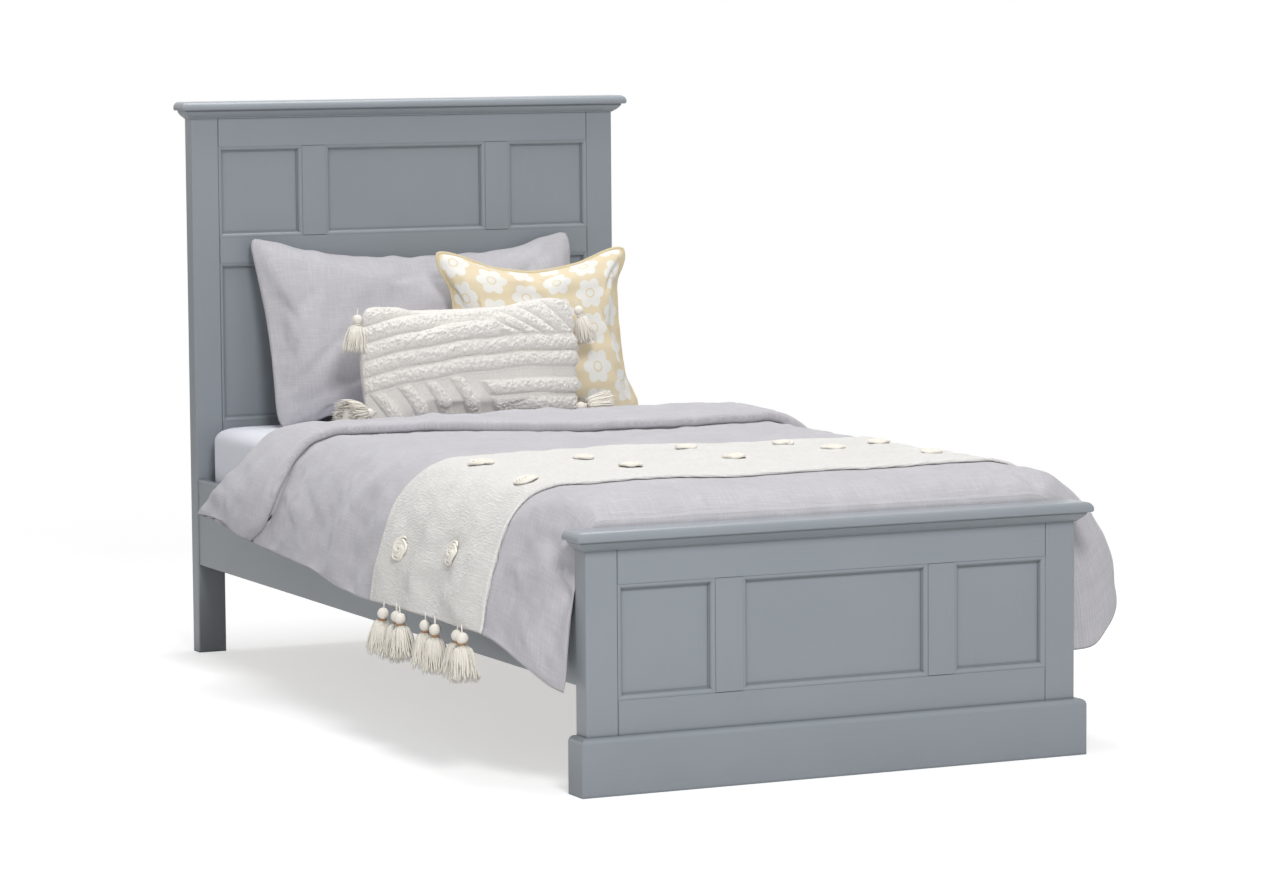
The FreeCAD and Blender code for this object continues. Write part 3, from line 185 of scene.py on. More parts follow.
# %% [markdown]
# Slats and ledges are left bare: sawn and planed pine, honey coloured, with darker late
# wood every few millimetres and here and there a knot's swirl. The grain is a wave
# along the piece, bent by noise.

# %% Bare pine
def planed_pine(name, grain, rings):
    """Planed pine: bands of early and late wood, 4 mm apart, bent by noise."""
    material, place = started(name)
    stretched = add(material, "Mapping", {"Vector": place, "Scale": grain})
    bands = add(material, "TexWave", {"Vector": stretched, "Scale": 1.0, "Distortion": 5.0,
                                      "Detail": 2.0, "Detail Scale": 0.6}, 1,
                bands_direction=rings)
    fibre = add(material, "TexNoise", {"Vector": stretched, "Scale": 3.0, "Detail": 4.0})
    late = add(material, "Math", {0: bands, 1: 0.6}, operation="MULTIPLY")
    thin = add(material, "Math", {0: fibre, 1: 0.3}, operation="MULTIPLY")
    tone = add(material, "Mix", {0: late, 6: "#D9BD92", 7: "#B88F5E"}, 2, data_type="RGBA")
    tone = add(material, "Mix", {0: thin, 6: tone, 7: "#CDB083"}, 2, data_type="RGBA")
    return ended(material, {"Base Color": tone, "Roughness": 0.62, "IOR": 1.5},
                 fibre, 0.3, 0.0003)


pines = {"slats": planed_pine("planed_pine_across", (6.0, 80.0, 80.0), "Y"),
         "ledge": planed_pine("planed_pine_along", (80.0, 6.0, 80.0), "X")}

# %% [markdown]
# The hook plates and screws are steel with a thin layer of zinc: a metal with a dull,
# slightly blue shine and small crystals. The tapes that hold the slats apart are woven
# polypropylene, a flat weave of 2 mm ribs.

# %% Zinc and webbing
zinc, place = started("zinc_plated_steel")
# Faint crystals of two tones, about 3 mm wide.
crystals = add(zinc, "TexVoronoi", {"Vector": place, "Scale": 330.0}, "Distance")
tone = add(zinc, "Mix", {0: crystals, 6: "#B5B9BD", 7: "#A4A8AD"}, 2, data_type="RGBA")
gloss = add(zinc, "MapRange", {0: crystals, 3: 0.3, 4: 0.42})
ended(zinc, {"Base Color": tone, "Metallic": 1.0, "Roughness": gloss})

tape, place = started("polypropylene_webbing")
ribs = add(tape, "TexWave", {"Vector": place, "Scale": 160.0}, 1, bands_direction="Y")
tone = add(tape, "Mix", {0: ribs, 6: "#CFCCC2", 7: "#E2E0D8"}, 2, data_type="RGBA")
ended(tape, {"Base Color": tone, "Roughness": 0.7}, ribs, 0.5, 0.0004)

# %% Dress the frame's own nodes
UPRIGHT = ("post", "stile", "panel")
finishes = {}
for name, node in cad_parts.items():
    if name == "slats":
        finish = pines["slats"]
    elif name.startswith("slat_ledge"):
        finish = pines["ledge"]
    elif name == "slat_tapes":
        finish = tape
    elif name.endswith(("plates", "screws")):
        finish = zinc
    elif name.startswith("side_rail"):
        finish = paints["along"]
    elif any(word in name for word in UPRIGHT):
        finish = paints["upright"]
    else:
        finish = paints["across"]
    node.data.materials.clear()
    node.data.materials.append(finish)
    finishes[finish.name] = finishes.get(finish.name, 0) + 1
print("finishes:", finishes)

# %% [markdown]
# Photographs like this are lit by large soft boxes, one in front of the foot, one above
# and a weak one from the left, in a room of white walls. The world is that room. Its
# walls show white to the camera and in reflections, and give a dimmer light. The floor is
# matt white and keeps the soft shadow under the bed.

# %% Room, floor and lamps
ROOM_LIGHT = 0.35       # how bright the walls are as a lamp; seen, they are 1
FLOOR_LIFT = 0.555      # what the camera adds to the lit floor

room = bpy.data.worlds.new("white_room")
bpy.context.scene.world = room
room.use_nodes = True
room.node_tree.nodes.clear()
direct = add(room, "LightPath", out="Is Camera Ray")
for ray in ("Is Transmission Ray", "Is Glossy Ray"):
    direct = add(room, "Math", {0: direct, 1: add(room, "LightPath", out=ray)},
                 operation="MAXIMUM")
strength = add(room, "MapRange", {0: direct, 3: ROOM_LIGHT, 4: 1.0})
add(room, "OutputWorld", {0: add(room, "Background", {0: "#FFFFFF", 1: strength})})


def studio_floor():
    """Matt white that keeps the shadow near the bed and turns to plain white further off.

    The share of plain white grows with the distance from the bed's middle, along Y a
    little slower, between two radii in metres.
    """
    material, place = started("white_studio_floor")
    squeezed = add(material, "Mapping", {"Vector": place, "Scale": (1.0, 0.8, 1.0)})
    away = add(material, "VectorMath", {0: squeezed}, "Value", operation="LENGTH")
    far = add(material, "MapRange", {0: away, 1: 1.5, 2: 3.2}, interpolation_type="SMOOTHSTEP")
    seen = add(material, "LightPath", out="Is Camera Ray")
    # To the lamps the paper is white. To the camera it is a little darker and lifted, so
    # that its shadow is as pale as in the photograph and the open floor just turns white.
    tone = add(material, "Mix", {0: seen, 6: "#EDEDED", 7: "#CECECE"}, 2, data_type="RGBA")
    lifted = add(material, "Math", {0: seen, 1: FLOOR_LIFT}, operation="MULTIPLY")
    near = add(material, "AddShader", {
        0: add(material, "BsdfDiffuse", {0: tone}),
        1: add(material, "Emission", {0: "#FFFFFF", 1: lifted})})
    both = add(material, "MixShader", {
        0: add(material, "Math", {0: far, 1: seen}, operation="MULTIPLY"), 1: near,
        2: add(material, "Emission", {0: "#FFFFFF", 1: 1.0})})
    add(material, "OutputMaterial", {0: both})
    return material


SIDE = 30.0             # half the floor's side
floor_mesh = bpy.data.meshes.new("floor")
floor_mesh.from_pydata([(-SIDE, -SIDE, 0), (SIDE, -SIDE, 0), (SIDE, SIDE, 0), (-SIDE, SIDE, 0)],
                       [], [(0, 1, 2, 3)])
floor = bpy.data.objects.new("floor", floor_mesh)
floor.data.materials.append(studio_floor())
bpy.context.scene.collection.objects.link(floor)


def softbox(name, place, aim, side, watts):
    """A square lamp at a place, turned to face another."""
    lamp = bpy.data.lights.new(name, "AREA")
    lamp.energy = watts
    lamp.size = side
    holder = bpy.data.objects.new(name, lamp)
    holder.location = place
    holder.rotation_euler = (Vector(aim) - Vector(place)).to_track_quat("-Z", "Y").to_euler()
    bpy.context.scene.collection.objects.link(holder)


softbox("key_before_foot", (-1.2, -4.6, 4.0), (0, 0, 0.5), 1.3, 168)
softbox("overhead", (0.2, 0.7, 4.0), (0, 0.3, 0), 2.2, 89)
softbox("fill_left", (-3.6, -4.2, 3.2), (0, -0.5, 0.5), 2.0, 16)
bpy.context.scene.view_settings.view_transform = "Standard"

# %% [markdown]
# Every soft piece below is a surface worked out on a grid. These helpers turn grids into
# meshes. A closed skin has an outer grid and an inner one that share their border, which
# is how a filled cover is sewn. Ripples are the small unevenness of cloth: a few plane
# waves in scattered directions, from a fixed seed, so that each run gives the same.

# %% Grids into meshes
def quads(numbers):
    """Four corners of each square of a grid of point numbers."""
    return np.stack([numbers[:-1, :-1], numbers[:-1, 1:], numbers[1:, 1:], numbers[1:, :-1]],
                    axis=-1).reshape(-1, 4)


def put_mesh(name, points, faces, flat, finish):
    """Makes an object of points and faces, with its flat pattern as UV, in metres."""
    mesh = bpy.data.meshes.new(name)
    mesh.from_pydata(np.asarray(points, float), [], np.asarray(faces))
    mesh.polygons.foreach_set("use_smooth", np.ones(len(mesh.polygons), bool))
    corners = np.empty(len(mesh.loops), int)
    mesh.loops.foreach_get("vertex_index", corners)
    pattern = mesh.uv_layers.new(name="UVMap")
    pattern.data.foreach_set("uv", np.asarray(flat, float)[corners].ravel())
    mesh.materials.append(finish)
    new = bpy.data.objects.new(name, mesh)
    bpy.context.scene.collection.objects.link(new)
    print(name, len(mesh.vertices), "points", len(mesh.polygons), "faces")
    return new


def closed_skin(outer, inner, flat):
    """Points, faces and pattern of a cover whose outer and inner grids share a border."""
    rows, columns = outer.shape[:2]
    front = np.arange(rows * columns).reshape(rows, columns)
    back = front.copy()
    back[1:-1, 1:-1] = rows * columns + np.arange((rows - 2) * (columns - 2)).reshape(
        rows - 2, columns - 2)
    points = np.vstack([outer.reshape(-1, 3), inner[1:-1, 1:-1].reshape(-1, 3)])
    pattern = np.vstack([flat.reshape(-1, 2), flat[1:-1, 1:-1].reshape(-1, 2)])
    return points, np.vstack([quads(front), quads(back)[:, ::-1]]), pattern


def joined(lots):
    """Several lots as one: points, faces that count on, and patterns where they have one."""
    starts = np.cumsum([0] + [len(lot[0]) for lot in lots])
    points, faces, *patterns = zip(*lots)
    faces = [each + start for each, start in zip(faces, starts)]
    return np.vstack(points), np.vstack(faces), *map(np.vstack, patterns)


def share_border(grid, other):
    """Gives a grid the other's points along its border, where the two are sewn together."""
    border = np.zeros(grid.shape[:2], bool)
    border[[0, -1]] = border[:, [0, -1]] = True
    grid[border] = other[border]


def normals_of(grid):
    """Unit normals of a grid: the cross product of its two directions."""
    across = np.gradient(grid, axis=1)
    on = np.gradient(grid, axis=0)
    normal = np.cross(across, on)
    return normal / np.maximum(np.linalg.norm(normal, axis=-1, keepdims=True), 1e-12)


def smooth_through(where, knots, values):
    """A cubic curve through values at knots, with slopes taken from their neighbours."""
    knots, values = np.asarray(knots, float), np.asarray(values, float)
    slopes = np.gradient(values, knots, axis=0)
    low = np.clip(np.searchsorted(knots, where, side="right") - 1, 0, len(knots) - 2)
    step = (knots[low + 1] - knots[low])
    t = (where - knots[low]) / step
    extra = t.shape + (1,) * (values.ndim - 1)
    t, step = t.reshape(extra), step.reshape(extra)
    return ((1 + 2 * t) * (1 - t) ** 2 * values[low] + t * (1 - t) ** 2 * step * slopes[low]
            + t * t * (3 - 2 * t) * values[low + 1] + t * t * (t - 1) * step * slopes[low + 1])


def ripples(a, b, seed, length, count=9, lean=0.0):
    """Waves of about a length in scattered directions, summed to about 1 at most.

    The lean, from 0 to 1, turns them all to run across the first direction.
    """
    random = np.random.default_rng(seed)
    total = np.zeros(np.broadcast(a, b).shape)
    for i in range(count):
        angle = random.uniform(0, np.pi) * (1 - lean)
        wave = 2 * np.pi / (length * random.uniform(0.6, 1.5))
        total += np.sin(wave * (a * np.cos(angle) + b * np.sin(angle)) + random.uniform(0, 6.3))
    return total / np.sqrt(count)


def bump_at(distance, width):
    """A soft hump: 1 on the line, fading over a width."""
    return np.exp(-(distance / width) ** 2)


def line_distance(a, b, start, end):
    """Distance of points (a, b) from the piece of line between two points."""
    start, end = np.asarray(start, float), np.asarray(end, float)
    run = end - start
    t = np.clip(((a - start[0]) * run[0] + (b - start[1]) * run[1]) / (run @ run), 0, 1)
    return np.hypot(a - start[0] - t * run[0], b - start[1] - t * run[1])


print("helpers ready")

# %% [markdown]
# Cloth shows as what it is through its thread, its sheen and its small shadows. One
# recipe serves all the woven pieces: two sets of threads crossing on the flat pattern,
# thicker slubs along them, a soft cloudiness, and a bump that follows the threads. Real
# threads are 0.4 mm apart, finer than a pixel, so they are drawn about five times coarser.

# %% Woven cloth
def woven_cloth(name, pale, dark, thread, relief, slubs=(0.3, 0.3), length=0.05, sheen=0.25):
    """Plain weave of two tones: thread spacing, height of the relief, shares of slubs along
    the pattern's second and first direction, and the slubs' length."""
    material, pattern = started(name, "UVMap", 0)
    heights = []
    for direction, share in zip("XY", slubs):
        threads = add(material, "TexWave", {"Vector": pattern, "Scale": 0.32 / thread,
                                            "Distortion": 1.2, "Detail": 1.0,
                                            "Detail Scale": 3.0}, 1, bands_direction=direction)
        scale = (1 / length, 300.0, 1.0) if direction == "Y" else (300.0, 1 / length, 1.0)
        stretched = add(material, "Mapping", {"Vector": pattern, "Scale": scale})
        noise = add(material, "TexNoise", {"Vector": stretched, "Scale": 1.0, "Detail": 2.0})
        thick = add(material, "MapRange", {0: noise, 1: 0.45, 2: 0.68, 4: share})
        heights.append(add(material, "Math", {0: threads, 1: thick}, operation="ADD"))
    weave = add(material, "Math", {0: heights[0], 1: heights[1]}, operation="ADD")
    weave = add(material, "Math", {0: weave, 1: 0.5}, operation="MULTIPLY")
    cloud = add(material, "TexNoise", {"Vector": pattern, "Scale": 9.0, "Detail": 3.0})
    clouded, woven = (add(material, "Math", {0: source, 1: part}, operation="MULTIPLY")
                      for source, part in ((cloud, 0.5), (weave, 0.45)))
    share = add(material, "Math", {0: clouded, 1: woven}, operation="ADD")
    tone = add(material, "Mix", {0: share, 6: dark, 7: pale}, 2, data_type="RGBA")
    return ended(material, {
        "Base Color": tone, "Roughness": 0.85, "Specular IOR Level": 0.25,
        "Sheen Weight": sheen, "Sheen Roughness": 0.5}, weave, 0.6, relief)


linen = woven_cloth("washed_linen", "#CAC8CD", "#A7A5AA", 0.0022, 0.0007, (0.8, 0.8))
percale = woven_cloth("white_percale", "#E6E7EE", "#D8DAE3", 0.0010, 0.0002, (0.1, 0.1), sheen=0.1)
ticking = woven_cloth("mattress_ticking", "#E6E5E0", "#D6D4CC", 0.0020, 0.0005, sheen=0.1)
slub_cotton = woven_cloth("slub_cotton", "#EFEEEB", "#DAD8D4", 0.0024, 0.0020, (1.8, 0.4), 0.022)
print("cloths ready")

# %% [markdown]
# The mattress is a block of foam in a stitched cover, with a welt round its upper and
# lower edge. It is a profile carried round the mattress's outline: each point of the
# outline moves inwards by the profile's first number and takes its second as height.

# %% Mattress
def outline(half_width, half_length, radius, count):
    """A rectangle with round corners: (x, y) of points evenly spaced along it."""
    straight = np.array([half_width - radius, half_length - radius])
    quarter = np.pi * radius / 2
    runs = np.array([2 * straight[1], quarter, 2 * straight[0], quarter] * 2)
    ends = np.cumsum(runs)
    at = np.linspace(0, ends[-1], count, endpoint=False)
    piece = np.searchsorted(ends, at, side="right")
    done = at - (ends - runs)[piece]
    corners = np.array([[1, -1], [1, 1], [1, 1], [-1, 1], [-1, 1], [-1, -1], [-1, -1], [1, -1]])
    turn = np.where(piece % 2 == 1, (piece // 2) * np.pi / 2 + done / radius,
                    (piece // 2) * np.pi / 2)
    centre = corners[piece] * straight
    out = np.stack([np.cos(turn), np.sin(turn)], -1)
    tangent = np.stack([-np.sin(turn), np.cos(turn)], -1)
    return centre + out * radius + np.where(piece % 2 == 0, done, 0)[:, None] * tangent


def carried_round(path, profile, middle_y):
    """Rings of a profile of (inset, height) round a path; insets stop at the middle line."""
    inset, height = np.asarray(profile, float).T
    size = np.maximum(np.abs(path)[None] - inset[:, None, None], 0)
    rings = np.sign(path)[None] * size
    rings = np.concatenate([rings, np.broadcast_to(height[:, None, None],
                                                   rings.shape[:2] + (1,))], -1)
    return rings + [0, middle_y, 0]


def ring_faces(rows, columns):
    """Squares between rings that close on themselves."""
    numbers = np.arange(rows * columns).reshape(rows, columns)
    return quads(np.hstack([numbers, numbers[:, :1]]))


def weld(piece, distance=1e-5):
    """Merges points that meet, drops faces that closed up, turns all faces outwards."""
    shape = bmesh.new()
    shape.from_mesh(piece.data)
    bmesh.ops.remove_doubles(shape, verts=shape.verts, dist=distance)
    bmesh.ops.dissolve_degenerate(shape, edges=shape.edges, dist=distance)
    bmesh.ops.recalc_face_normals(shape, faces=shape.faces)
    shape.to_mesh(piece.data)
    shape.free()


def wrapped(name, rings, profile, length, cloth):
    """A cover of rings; its flat pattern is the way round and the way along the profile."""
    along_profile = np.append(0, np.cumsum(np.hypot(*np.diff(profile, axis=0).T)))
    around = np.linspace(0, length, rings.shape[1])
    flat = np.stack(np.broadcast_arrays(around[None], along_profile[:, None]), -1)
    new = put_mesh(name, rings.reshape(-1, 3), ring_faces(*rings.shape[:2]),
                   flat.reshape(-1, 2), cloth)
    weld(new)
    return new


CORNER = 0.045          # radius of the mattress's upright corners
WELT = 0.003            # radius of the welt's cord
WELT_HEIGHTS = (0.306, 0.449)
low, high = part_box("mattress")
mattress_middle = (low.y + high.y) / 2
path = outline(MATTRESS_HALF - 0.0015, (high.y - low.y) / 2 - 0.0015, CORNER, 480)
lower_welt, upper_welt = ([(0.0035 - WELT * np.sin(t), height - WELT * np.cos(t))
                           for t in np.linspace(0, np.pi, 7)] for height in WELT_HEIGHTS)
profile = ([(0.5, 0.2825), (0.2, 0.2825), (0.06, 0.2825), (0.03, 0.2835), (0.012, 0.290)]
           + lower_welt + [(0.0045, 0.33), (0.0035, 0.38), (0.0045, 0.43)] + upper_welt
           + [(0.010, 0.462), (0.024, 0.470), (0.05, 0.4725), (0.2, 0.4725), (0.5, 0.4725)])
mattress = wrapped("foam_mattress", carried_round(path, profile, mattress_middle), profile,
                   5.5, ticking)

# %% [markdown]
# The fitted sheet is white percale pulled over the mattress, with elastic in its hem. It
# is the same kind of profile, a millimetre further out, left open below. The elastic
# gathers it near the hem, and the pull of the corners gives long faint waves.

# %% Fitted sheet
SHEET_HEM = 0.2945      # height of the sheet's lower end
SHEET_ROUND = 5.55      # the way round the sheet
side = [(0.0, height) for height in (SHEET_HEM, 0.30, 0.32, 0.35, 0.38, 0.41, 0.43, 0.445)]
level = [(inset, 0.4757) for inset in (0.09, 0.15, 0.25, 0.35, 0.5)]
profile = np.array(side + [(0.0010, 0.454), (0.005, 0.462), (0.012, 0.4685), (0.022, 0.4728),
                           (0.035, 0.4750), (0.05, 0.4756)] + level)
path = outline(MATTRESS_HALF + 0.001, (high.y - low.y) / 2 + 0.001, CORNER, 900)
rings = carried_round(path, profile, mattress_middle)
around = np.linspace(0, SHEET_ROUND, len(path))[None]
height = profile[:, 1][:, None]
gathers = 0.0012 * np.sin(2 * np.pi * around / 0.022) * bump_at(height - SHEET_HEM, 0.02)
waves = 0.0010 * ripples(around, height * 0.4, 5, 0.16) * (height < 0.47)
out = normals_of(np.concatenate([rings, rings[:, :1]], 1))[:, :-1]
rings = rings + out * (np.minimum(gathers + waves, 0.0))[..., None]
fitted_sheet = wrapped("fitted_sheet_percale", rings, profile, SHEET_ROUND, percale)

# %% [markdown]
# The duvet lies over the mattress and falls down both sides, standing off them like a
# tent. Its surface is a function of two numbers: s, from -1 at the left hem over the top
# to 1 at the right hem, and y along the bed. A standard half section gives the curve over
# the shoulder. Tables along the bed say how high the top is and where each hem hangs, and
# the half section is stretched to them. At the foot the corners hang lowest, because the
# end is tucked down behind the footboard.

# %% The duvet's surface
DUVET_TOP = 0.510       # height of its flat top
SHOULDER = 0.435        # half the width of that top
DUVET_FOOT, DUVET_HEAD = 0.042, 1.60  # places of its two ends
HALF_SECTION = np.array([(0, DUVET_TOP), (0.14, DUVET_TOP), (0.28, DUVET_TOP),
                         (0.38, DUVET_TOP), (SHOULDER, 0.509), (0.472, 0.497), (0.512, 0.466),
                         (0.553, 0.400), (0.578, 0.325), (0.590, 0.265)])
way = np.append(0, np.cumsum(np.hypot(*np.diff(HALF_SECTION, axis=0).T)))
HALF_CLOTH = way[-1]    # from the middle line to the hem, along the cloth
KNOTS = way / HALF_CLOTH
TOP = [(0.042, 0.434), (0.046, 0.4605), (0.052, 0.4685), (0.062, 0.4787), (0.08, 0.4913),
       (0.10, 0.4990), (0.13, 0.5050), (0.17, 0.5084), (0.25, 0.5099), (0.4, 0.510),
       (0.9, 0.510), (1.34, 0.510), (1.60, 0.494)]
LEFT_HEM = [(0.042, 0.503, 0.174), (0.075, 0.514, 0.182), (0.122, 0.540, 0.212),
            (0.19, 0.570, 0.250), (0.30, 0.589, 0.262), (0.55, 0.590, 0.263),
            (0.85, 0.590, 0.266), (1.00, 0.590, 0.285), (1.20, 0.589, 0.297),
            (1.35, 0.586, 0.305), (1.60, 0.580, 0.325)]
RIGHT_HEM = [(0.042, 0.498, 0.180), (0.055, 0.548, 0.182), (0.075, 0.595, 0.212),
             (0.10, 0.628, 0.243), (0.15, 0.626, 0.256), (0.25, 0.604, 0.262),
             (0.35, 0.590, 0.263), (0.55, 0.590, 0.263),
             (0.85, 0.590, 0.266), (1.20, 0.589, 0.290), (1.60, 0.580, 0.325)]


def middle_surface(s, y):
    """The cloth before folds: the half section, stretched to the top and hem at y."""
    top = smooth_through(y, *np.array(TOP).T)
    half = smooth_through(np.abs(s), KNOTS, HALF_SECTION)
    hem_x, hem_z = np.zeros(s.shape), np.zeros(s.shape)
    for side, hem in ((s < 0, LEFT_HEM), (s >= 0, RIGHT_HEM)):
        place, out, up = np.array(hem).T
        hem_x = np.where(side, smooth_through(y, place, out), hem_x)
        hem_z = np.where(side, smooth_through(y, place, up), hem_z)
    last_x, last_z = HALF_SECTION[-1]
    over = np.maximum(half[..., 0] - SHOULDER, 0) / (last_x - SHOULDER)
    x = np.minimum(half[..., 0], SHOULDER) + over * (hem_x - SHOULDER)
    down = (DUVET_TOP - half[..., 1]) / (DUVET_TOP - last_z)
    z = top - down * (top - hem_z)
    return np.stack([np.sign(s) * x, along(y), z], -1)


def duvet_folds(s, y):
    """Height of folds over the middle surface, in metres.

    Broad puffs on top, upright folds on the sides that deepen towards the hem, and
    creases placed where the photograph shows them. The throw's weight calms the small ones.
    """
    a = s * HALF_CLOTH
    side = np.clip((np.abs(s) - 0.58) / 0.25, 0, 1) ** 1.5
    calm = 1 - 0.7 * np.clip((y - 0.16) / 0.06, 0, 1) * np.clip((0.77 - y) / 0.06, 0, 1)
    folds = 0.0022 * ripples(a, y, 11, 0.42) * (1 - side)
    folds += 0.0016 * ripples(a, y, 12, 0.12, 14) * (0.5 + 0.5 * side) * calm
    folds += 0.0060 * ripples(y, a * 0.35, 13, 0.20, 7, lean=0.8) * side
    folds += 0.0007 * ripples(a, y, 14, 0.045, 16) * calm
    small = np.clip(ripples(a, y, 15, 0.075, 12), 0.4, 2) ** 2
    folds += 0.0011 * small * (0.3 + 0.7 * side) * calm
    for start, end, width, depth in CREASES:
        folds += depth * bump_at(line_distance(a, y, start, end), width)
    return folds


# Each: from and to, as (cloth from the middle line, place along the bed), width, height.
CREASES = [
    ((-0.50, 0.17), (-0.70, 0.30), 0.030, 0.010),
    ((-0.50, 0.12), (-0.62, 0.20), 0.022, -0.006),
    ((-0.55, 0.11), (-0.60, 0.06), 0.020, -0.009),
    ((-0.56, 0.07), (-0.66, 0.16), 0.012, -0.004),
    ((-0.57, 0.06), (-0.70, 0.12), 0.010, 0.004),
    ((-0.58, 0.06), (-0.62, 0.19), 0.010, 0.003),
    ((-0.60, 0.05), (-0.72, 0.09), 0.012, -0.004),
    ((-0.52, 0.30), (-0.70, 0.42), 0.030, -0.006),
    ((-0.48, 0.84), (-0.70, 0.88), 0.030, 0.006),
    ((-0.50, 0.98), (-0.72, 1.03), 0.025, -0.005),
    ((-0.46, 1.14), (-0.71, 1.16), 0.010, 0.004),
    ((-0.40, 1.20), (-0.10, 1.10), 0.030, -0.005),
    ((0.05, 1.03), (0.38, 1.04), 0.025, -0.004),
    ((-0.25, 0.96), (0.30, 0.90), 0.030, 0.003),
    ((0.44, 0.08), (0.40, 0.16), 0.020, -0.009),
    ((0.46, 0.12), (0.66, 0.10), 0.030, 0.008),
    ((0.50, 0.30), (0.70, 0.38), 0.030, -0.006),
]


def taper(distance, width):
    """A round edge: from 0 at the border to 1 at a width inside it, along a quarter circle."""
    share = np.clip(distance / width, 0, 1)
    return np.sqrt(np.clip(1 - (1 - share) ** 2, 0, 1))


def duvet_outside(s, y, lift=0.0):
    """The outer face of the duvet, or a surface that lies on it at a height."""
    middle = middle_surface(s, y)
    edge = taper(1 - np.abs(s), 0.05) * taper(np.minimum(y - DUVET_FOOT, DUVET_HEAD - y), 0.03)
    height = duvet_folds(s, y) * edge + lift
    return middle + normals_of(middle) * height[..., None]


def over_duvet(s, y, height):
    """Scattered points at heights over the duvet: their normals come from 1 mm steps."""
    across = middle_surface(s + 0.001, y) - middle_surface(s - 0.001, y)
    on = middle_surface(s, y + 0.001) - middle_surface(s, y - 0.001)
    out = np.cross(across, on)
    out /= np.linalg.norm(out, axis=-1, keepdims=True)
    return middle_surface(s, y) + out * (duvet_folds(s, y) + height)[..., None]


def bunched(count, share):
    """Numbers from -1 to 1 that lie closer together near the ends, the more the share."""
    even = np.linspace(-1, 1, count)
    return share * np.sin(even * np.pi / 2) + (1 - share) * even


# Where the folded end's head edge lies: (s, place along the bed).
FOLD_HEAD = [(-1.0, 1.580), (-0.90, 1.530), (-0.83, 1.490), (-0.76, 1.462), (-0.64, 1.490),
             (-0.49, 1.552), (-0.2, 1.586), (0.3, 1.586), (0.55, 1.545), (0.76, 1.490),
             (1.0, 1.580)]
s, r = np.meshgrid(bunched(241, 0.4), (bunched(261, 0.6) + 1) / 2)
start = DUVET_FOOT + 0.0005
y = start + (smooth_through(s, *np.array(FOLD_HEAD).T) - 0.020 - start) * r
outer = duvet_outside(s, y)
middle = middle_surface(s, y)
end = np.minimum(r, 1 - r) * 1.5
depth = 0.027 * taper(1 - np.abs(s), 0.05) * taper(end, 0.08)
room_below = np.maximum(middle[..., 2] - SHEET_TOP - 0.001, 0.002)
depth = np.where(np.abs(s) < 0.55, np.minimum(depth, room_below), depth)
inner = middle - normals_of(middle) * depth[..., None]
share_border(inner, outer)
main_cover = closed_skin(outer, inner, np.stack([s * HALF_CLOTH, y], -1))
print("half of the cloth over the bed:", round(float(HALF_CLOTH), 3), "m")

# %% [markdown]
# Its head end is folded back over itself. The fold is a second skin that lies on the
# first: it starts at a round front edge, which leaves a thin dark line under it, and
# rolls down over the duvet's head end to the sheet. The front edge runs aslant, nearer
# the foot on the right. At the hems the fold flares out and is open: between its two
# layers the skin goes back in, and the upper layer stops a little short of the lower.

# %% The turned-down end
FRONT = [(-1.0, 1.312), (-0.96, 1.275), (-0.88, 1.250), (-0.78, 1.238), (-0.66, 1.250),
         (-0.42, 1.246), (-0.18, 1.168), (0.07, 1.090), (0.48, 1.092), (0.65, 1.11),
         (1.0, 1.16)]
EDGE = 0.011            # radius of the round front edge
ROLL = 0.040            # radius of the roll down to the sheet at the head end
ROUND, SINK = 0.12, 0.86  # the rows' shares where the round edge ends and the roll starts
columns = 0.998 * bunched(201, 0.4)
columns = np.concatenate([[-0.90], columns, [0.90]])
s, r = np.meshgrid(columns, np.linspace(0, 1, 121))
front = smooth_through(s, *np.array(FRONT).T)
front = front + 0.005 * ripples(s * HALF_CLOTH, s * 0, 21, 0.22, 5)
head = smooth_through(s, *np.array(FOLD_HEAD).T)
turn = np.clip(r / ROUND, 0, 1) * np.pi - np.pi / 2
run = np.clip((r - ROUND) / (SINK - ROUND), 0, 1) ** 1.2
sink = np.clip((r - SINK) / (1 - SINK), 0, 1) * np.pi / 2
y = front + EDGE * (1 - np.cos(turn)) + (head - ROLL - front - EDGE) * run
y = y + ROLL * np.sin(sink)
flare = np.clip((np.abs(s) - 0.60) / 0.3, 0, 1)
rise = EDGE * (1 + np.sin(turn))
away = taper(y - front, 0.12)
rise = rise + (0.003 * ripples(s * HALF_CLOTH, y * 0.8, 23, 0.26, 8)
               + 0.0018 * ripples(s * HALF_CLOTH, y, 24, 0.09, 12) + 0.018 * flare) * away
rise = rise + 0.007 * flare * (turn > -1) * np.sin(np.clip(turn + 1, 0, np.pi / 2))
thin = 1 - 0.45 * np.clip((y - 1.38) / 0.18, 0, 1) * (1 - flare)
rise = np.maximum(rise, 0.0) * thin + duvet_folds(s, np.minimum(y, 1.5)) * 0.4
drop = ROLL * (1 - np.cos(sink))
base = middle_surface(s, y)
# The normals come from a plain grid, since this one doubles back at its ends.
plain = np.meshgrid(np.concatenate([[-1.01], columns[1:-1], [1.01]]),
                    np.linspace(1.15, 1.6, len(r)))
out = normals_of(middle_surface(*plain))
slip = 1 - 0.032 * np.sin(np.pi * r) * np.clip((np.abs(s) - 0.8) / 0.15, 0, 1)
outer = middle_surface(s * slip, y) + out * (rise - drop)[..., None]
inner = base - out * (0.004 + drop)[..., None]
outer[:, [0, -1]] = inner[:, [0, -1]] = (outer + inner)[:, [0, -1]] / 2
inner[[0, -1]] = outer[[0, -1]]
flap_cover = closed_skin(outer, inner, np.stack([s * HALF_CLOTH, y], -1))
duvet = put_mesh("duvet_in_linen", *joined([main_cover, flap_cover]), linen)

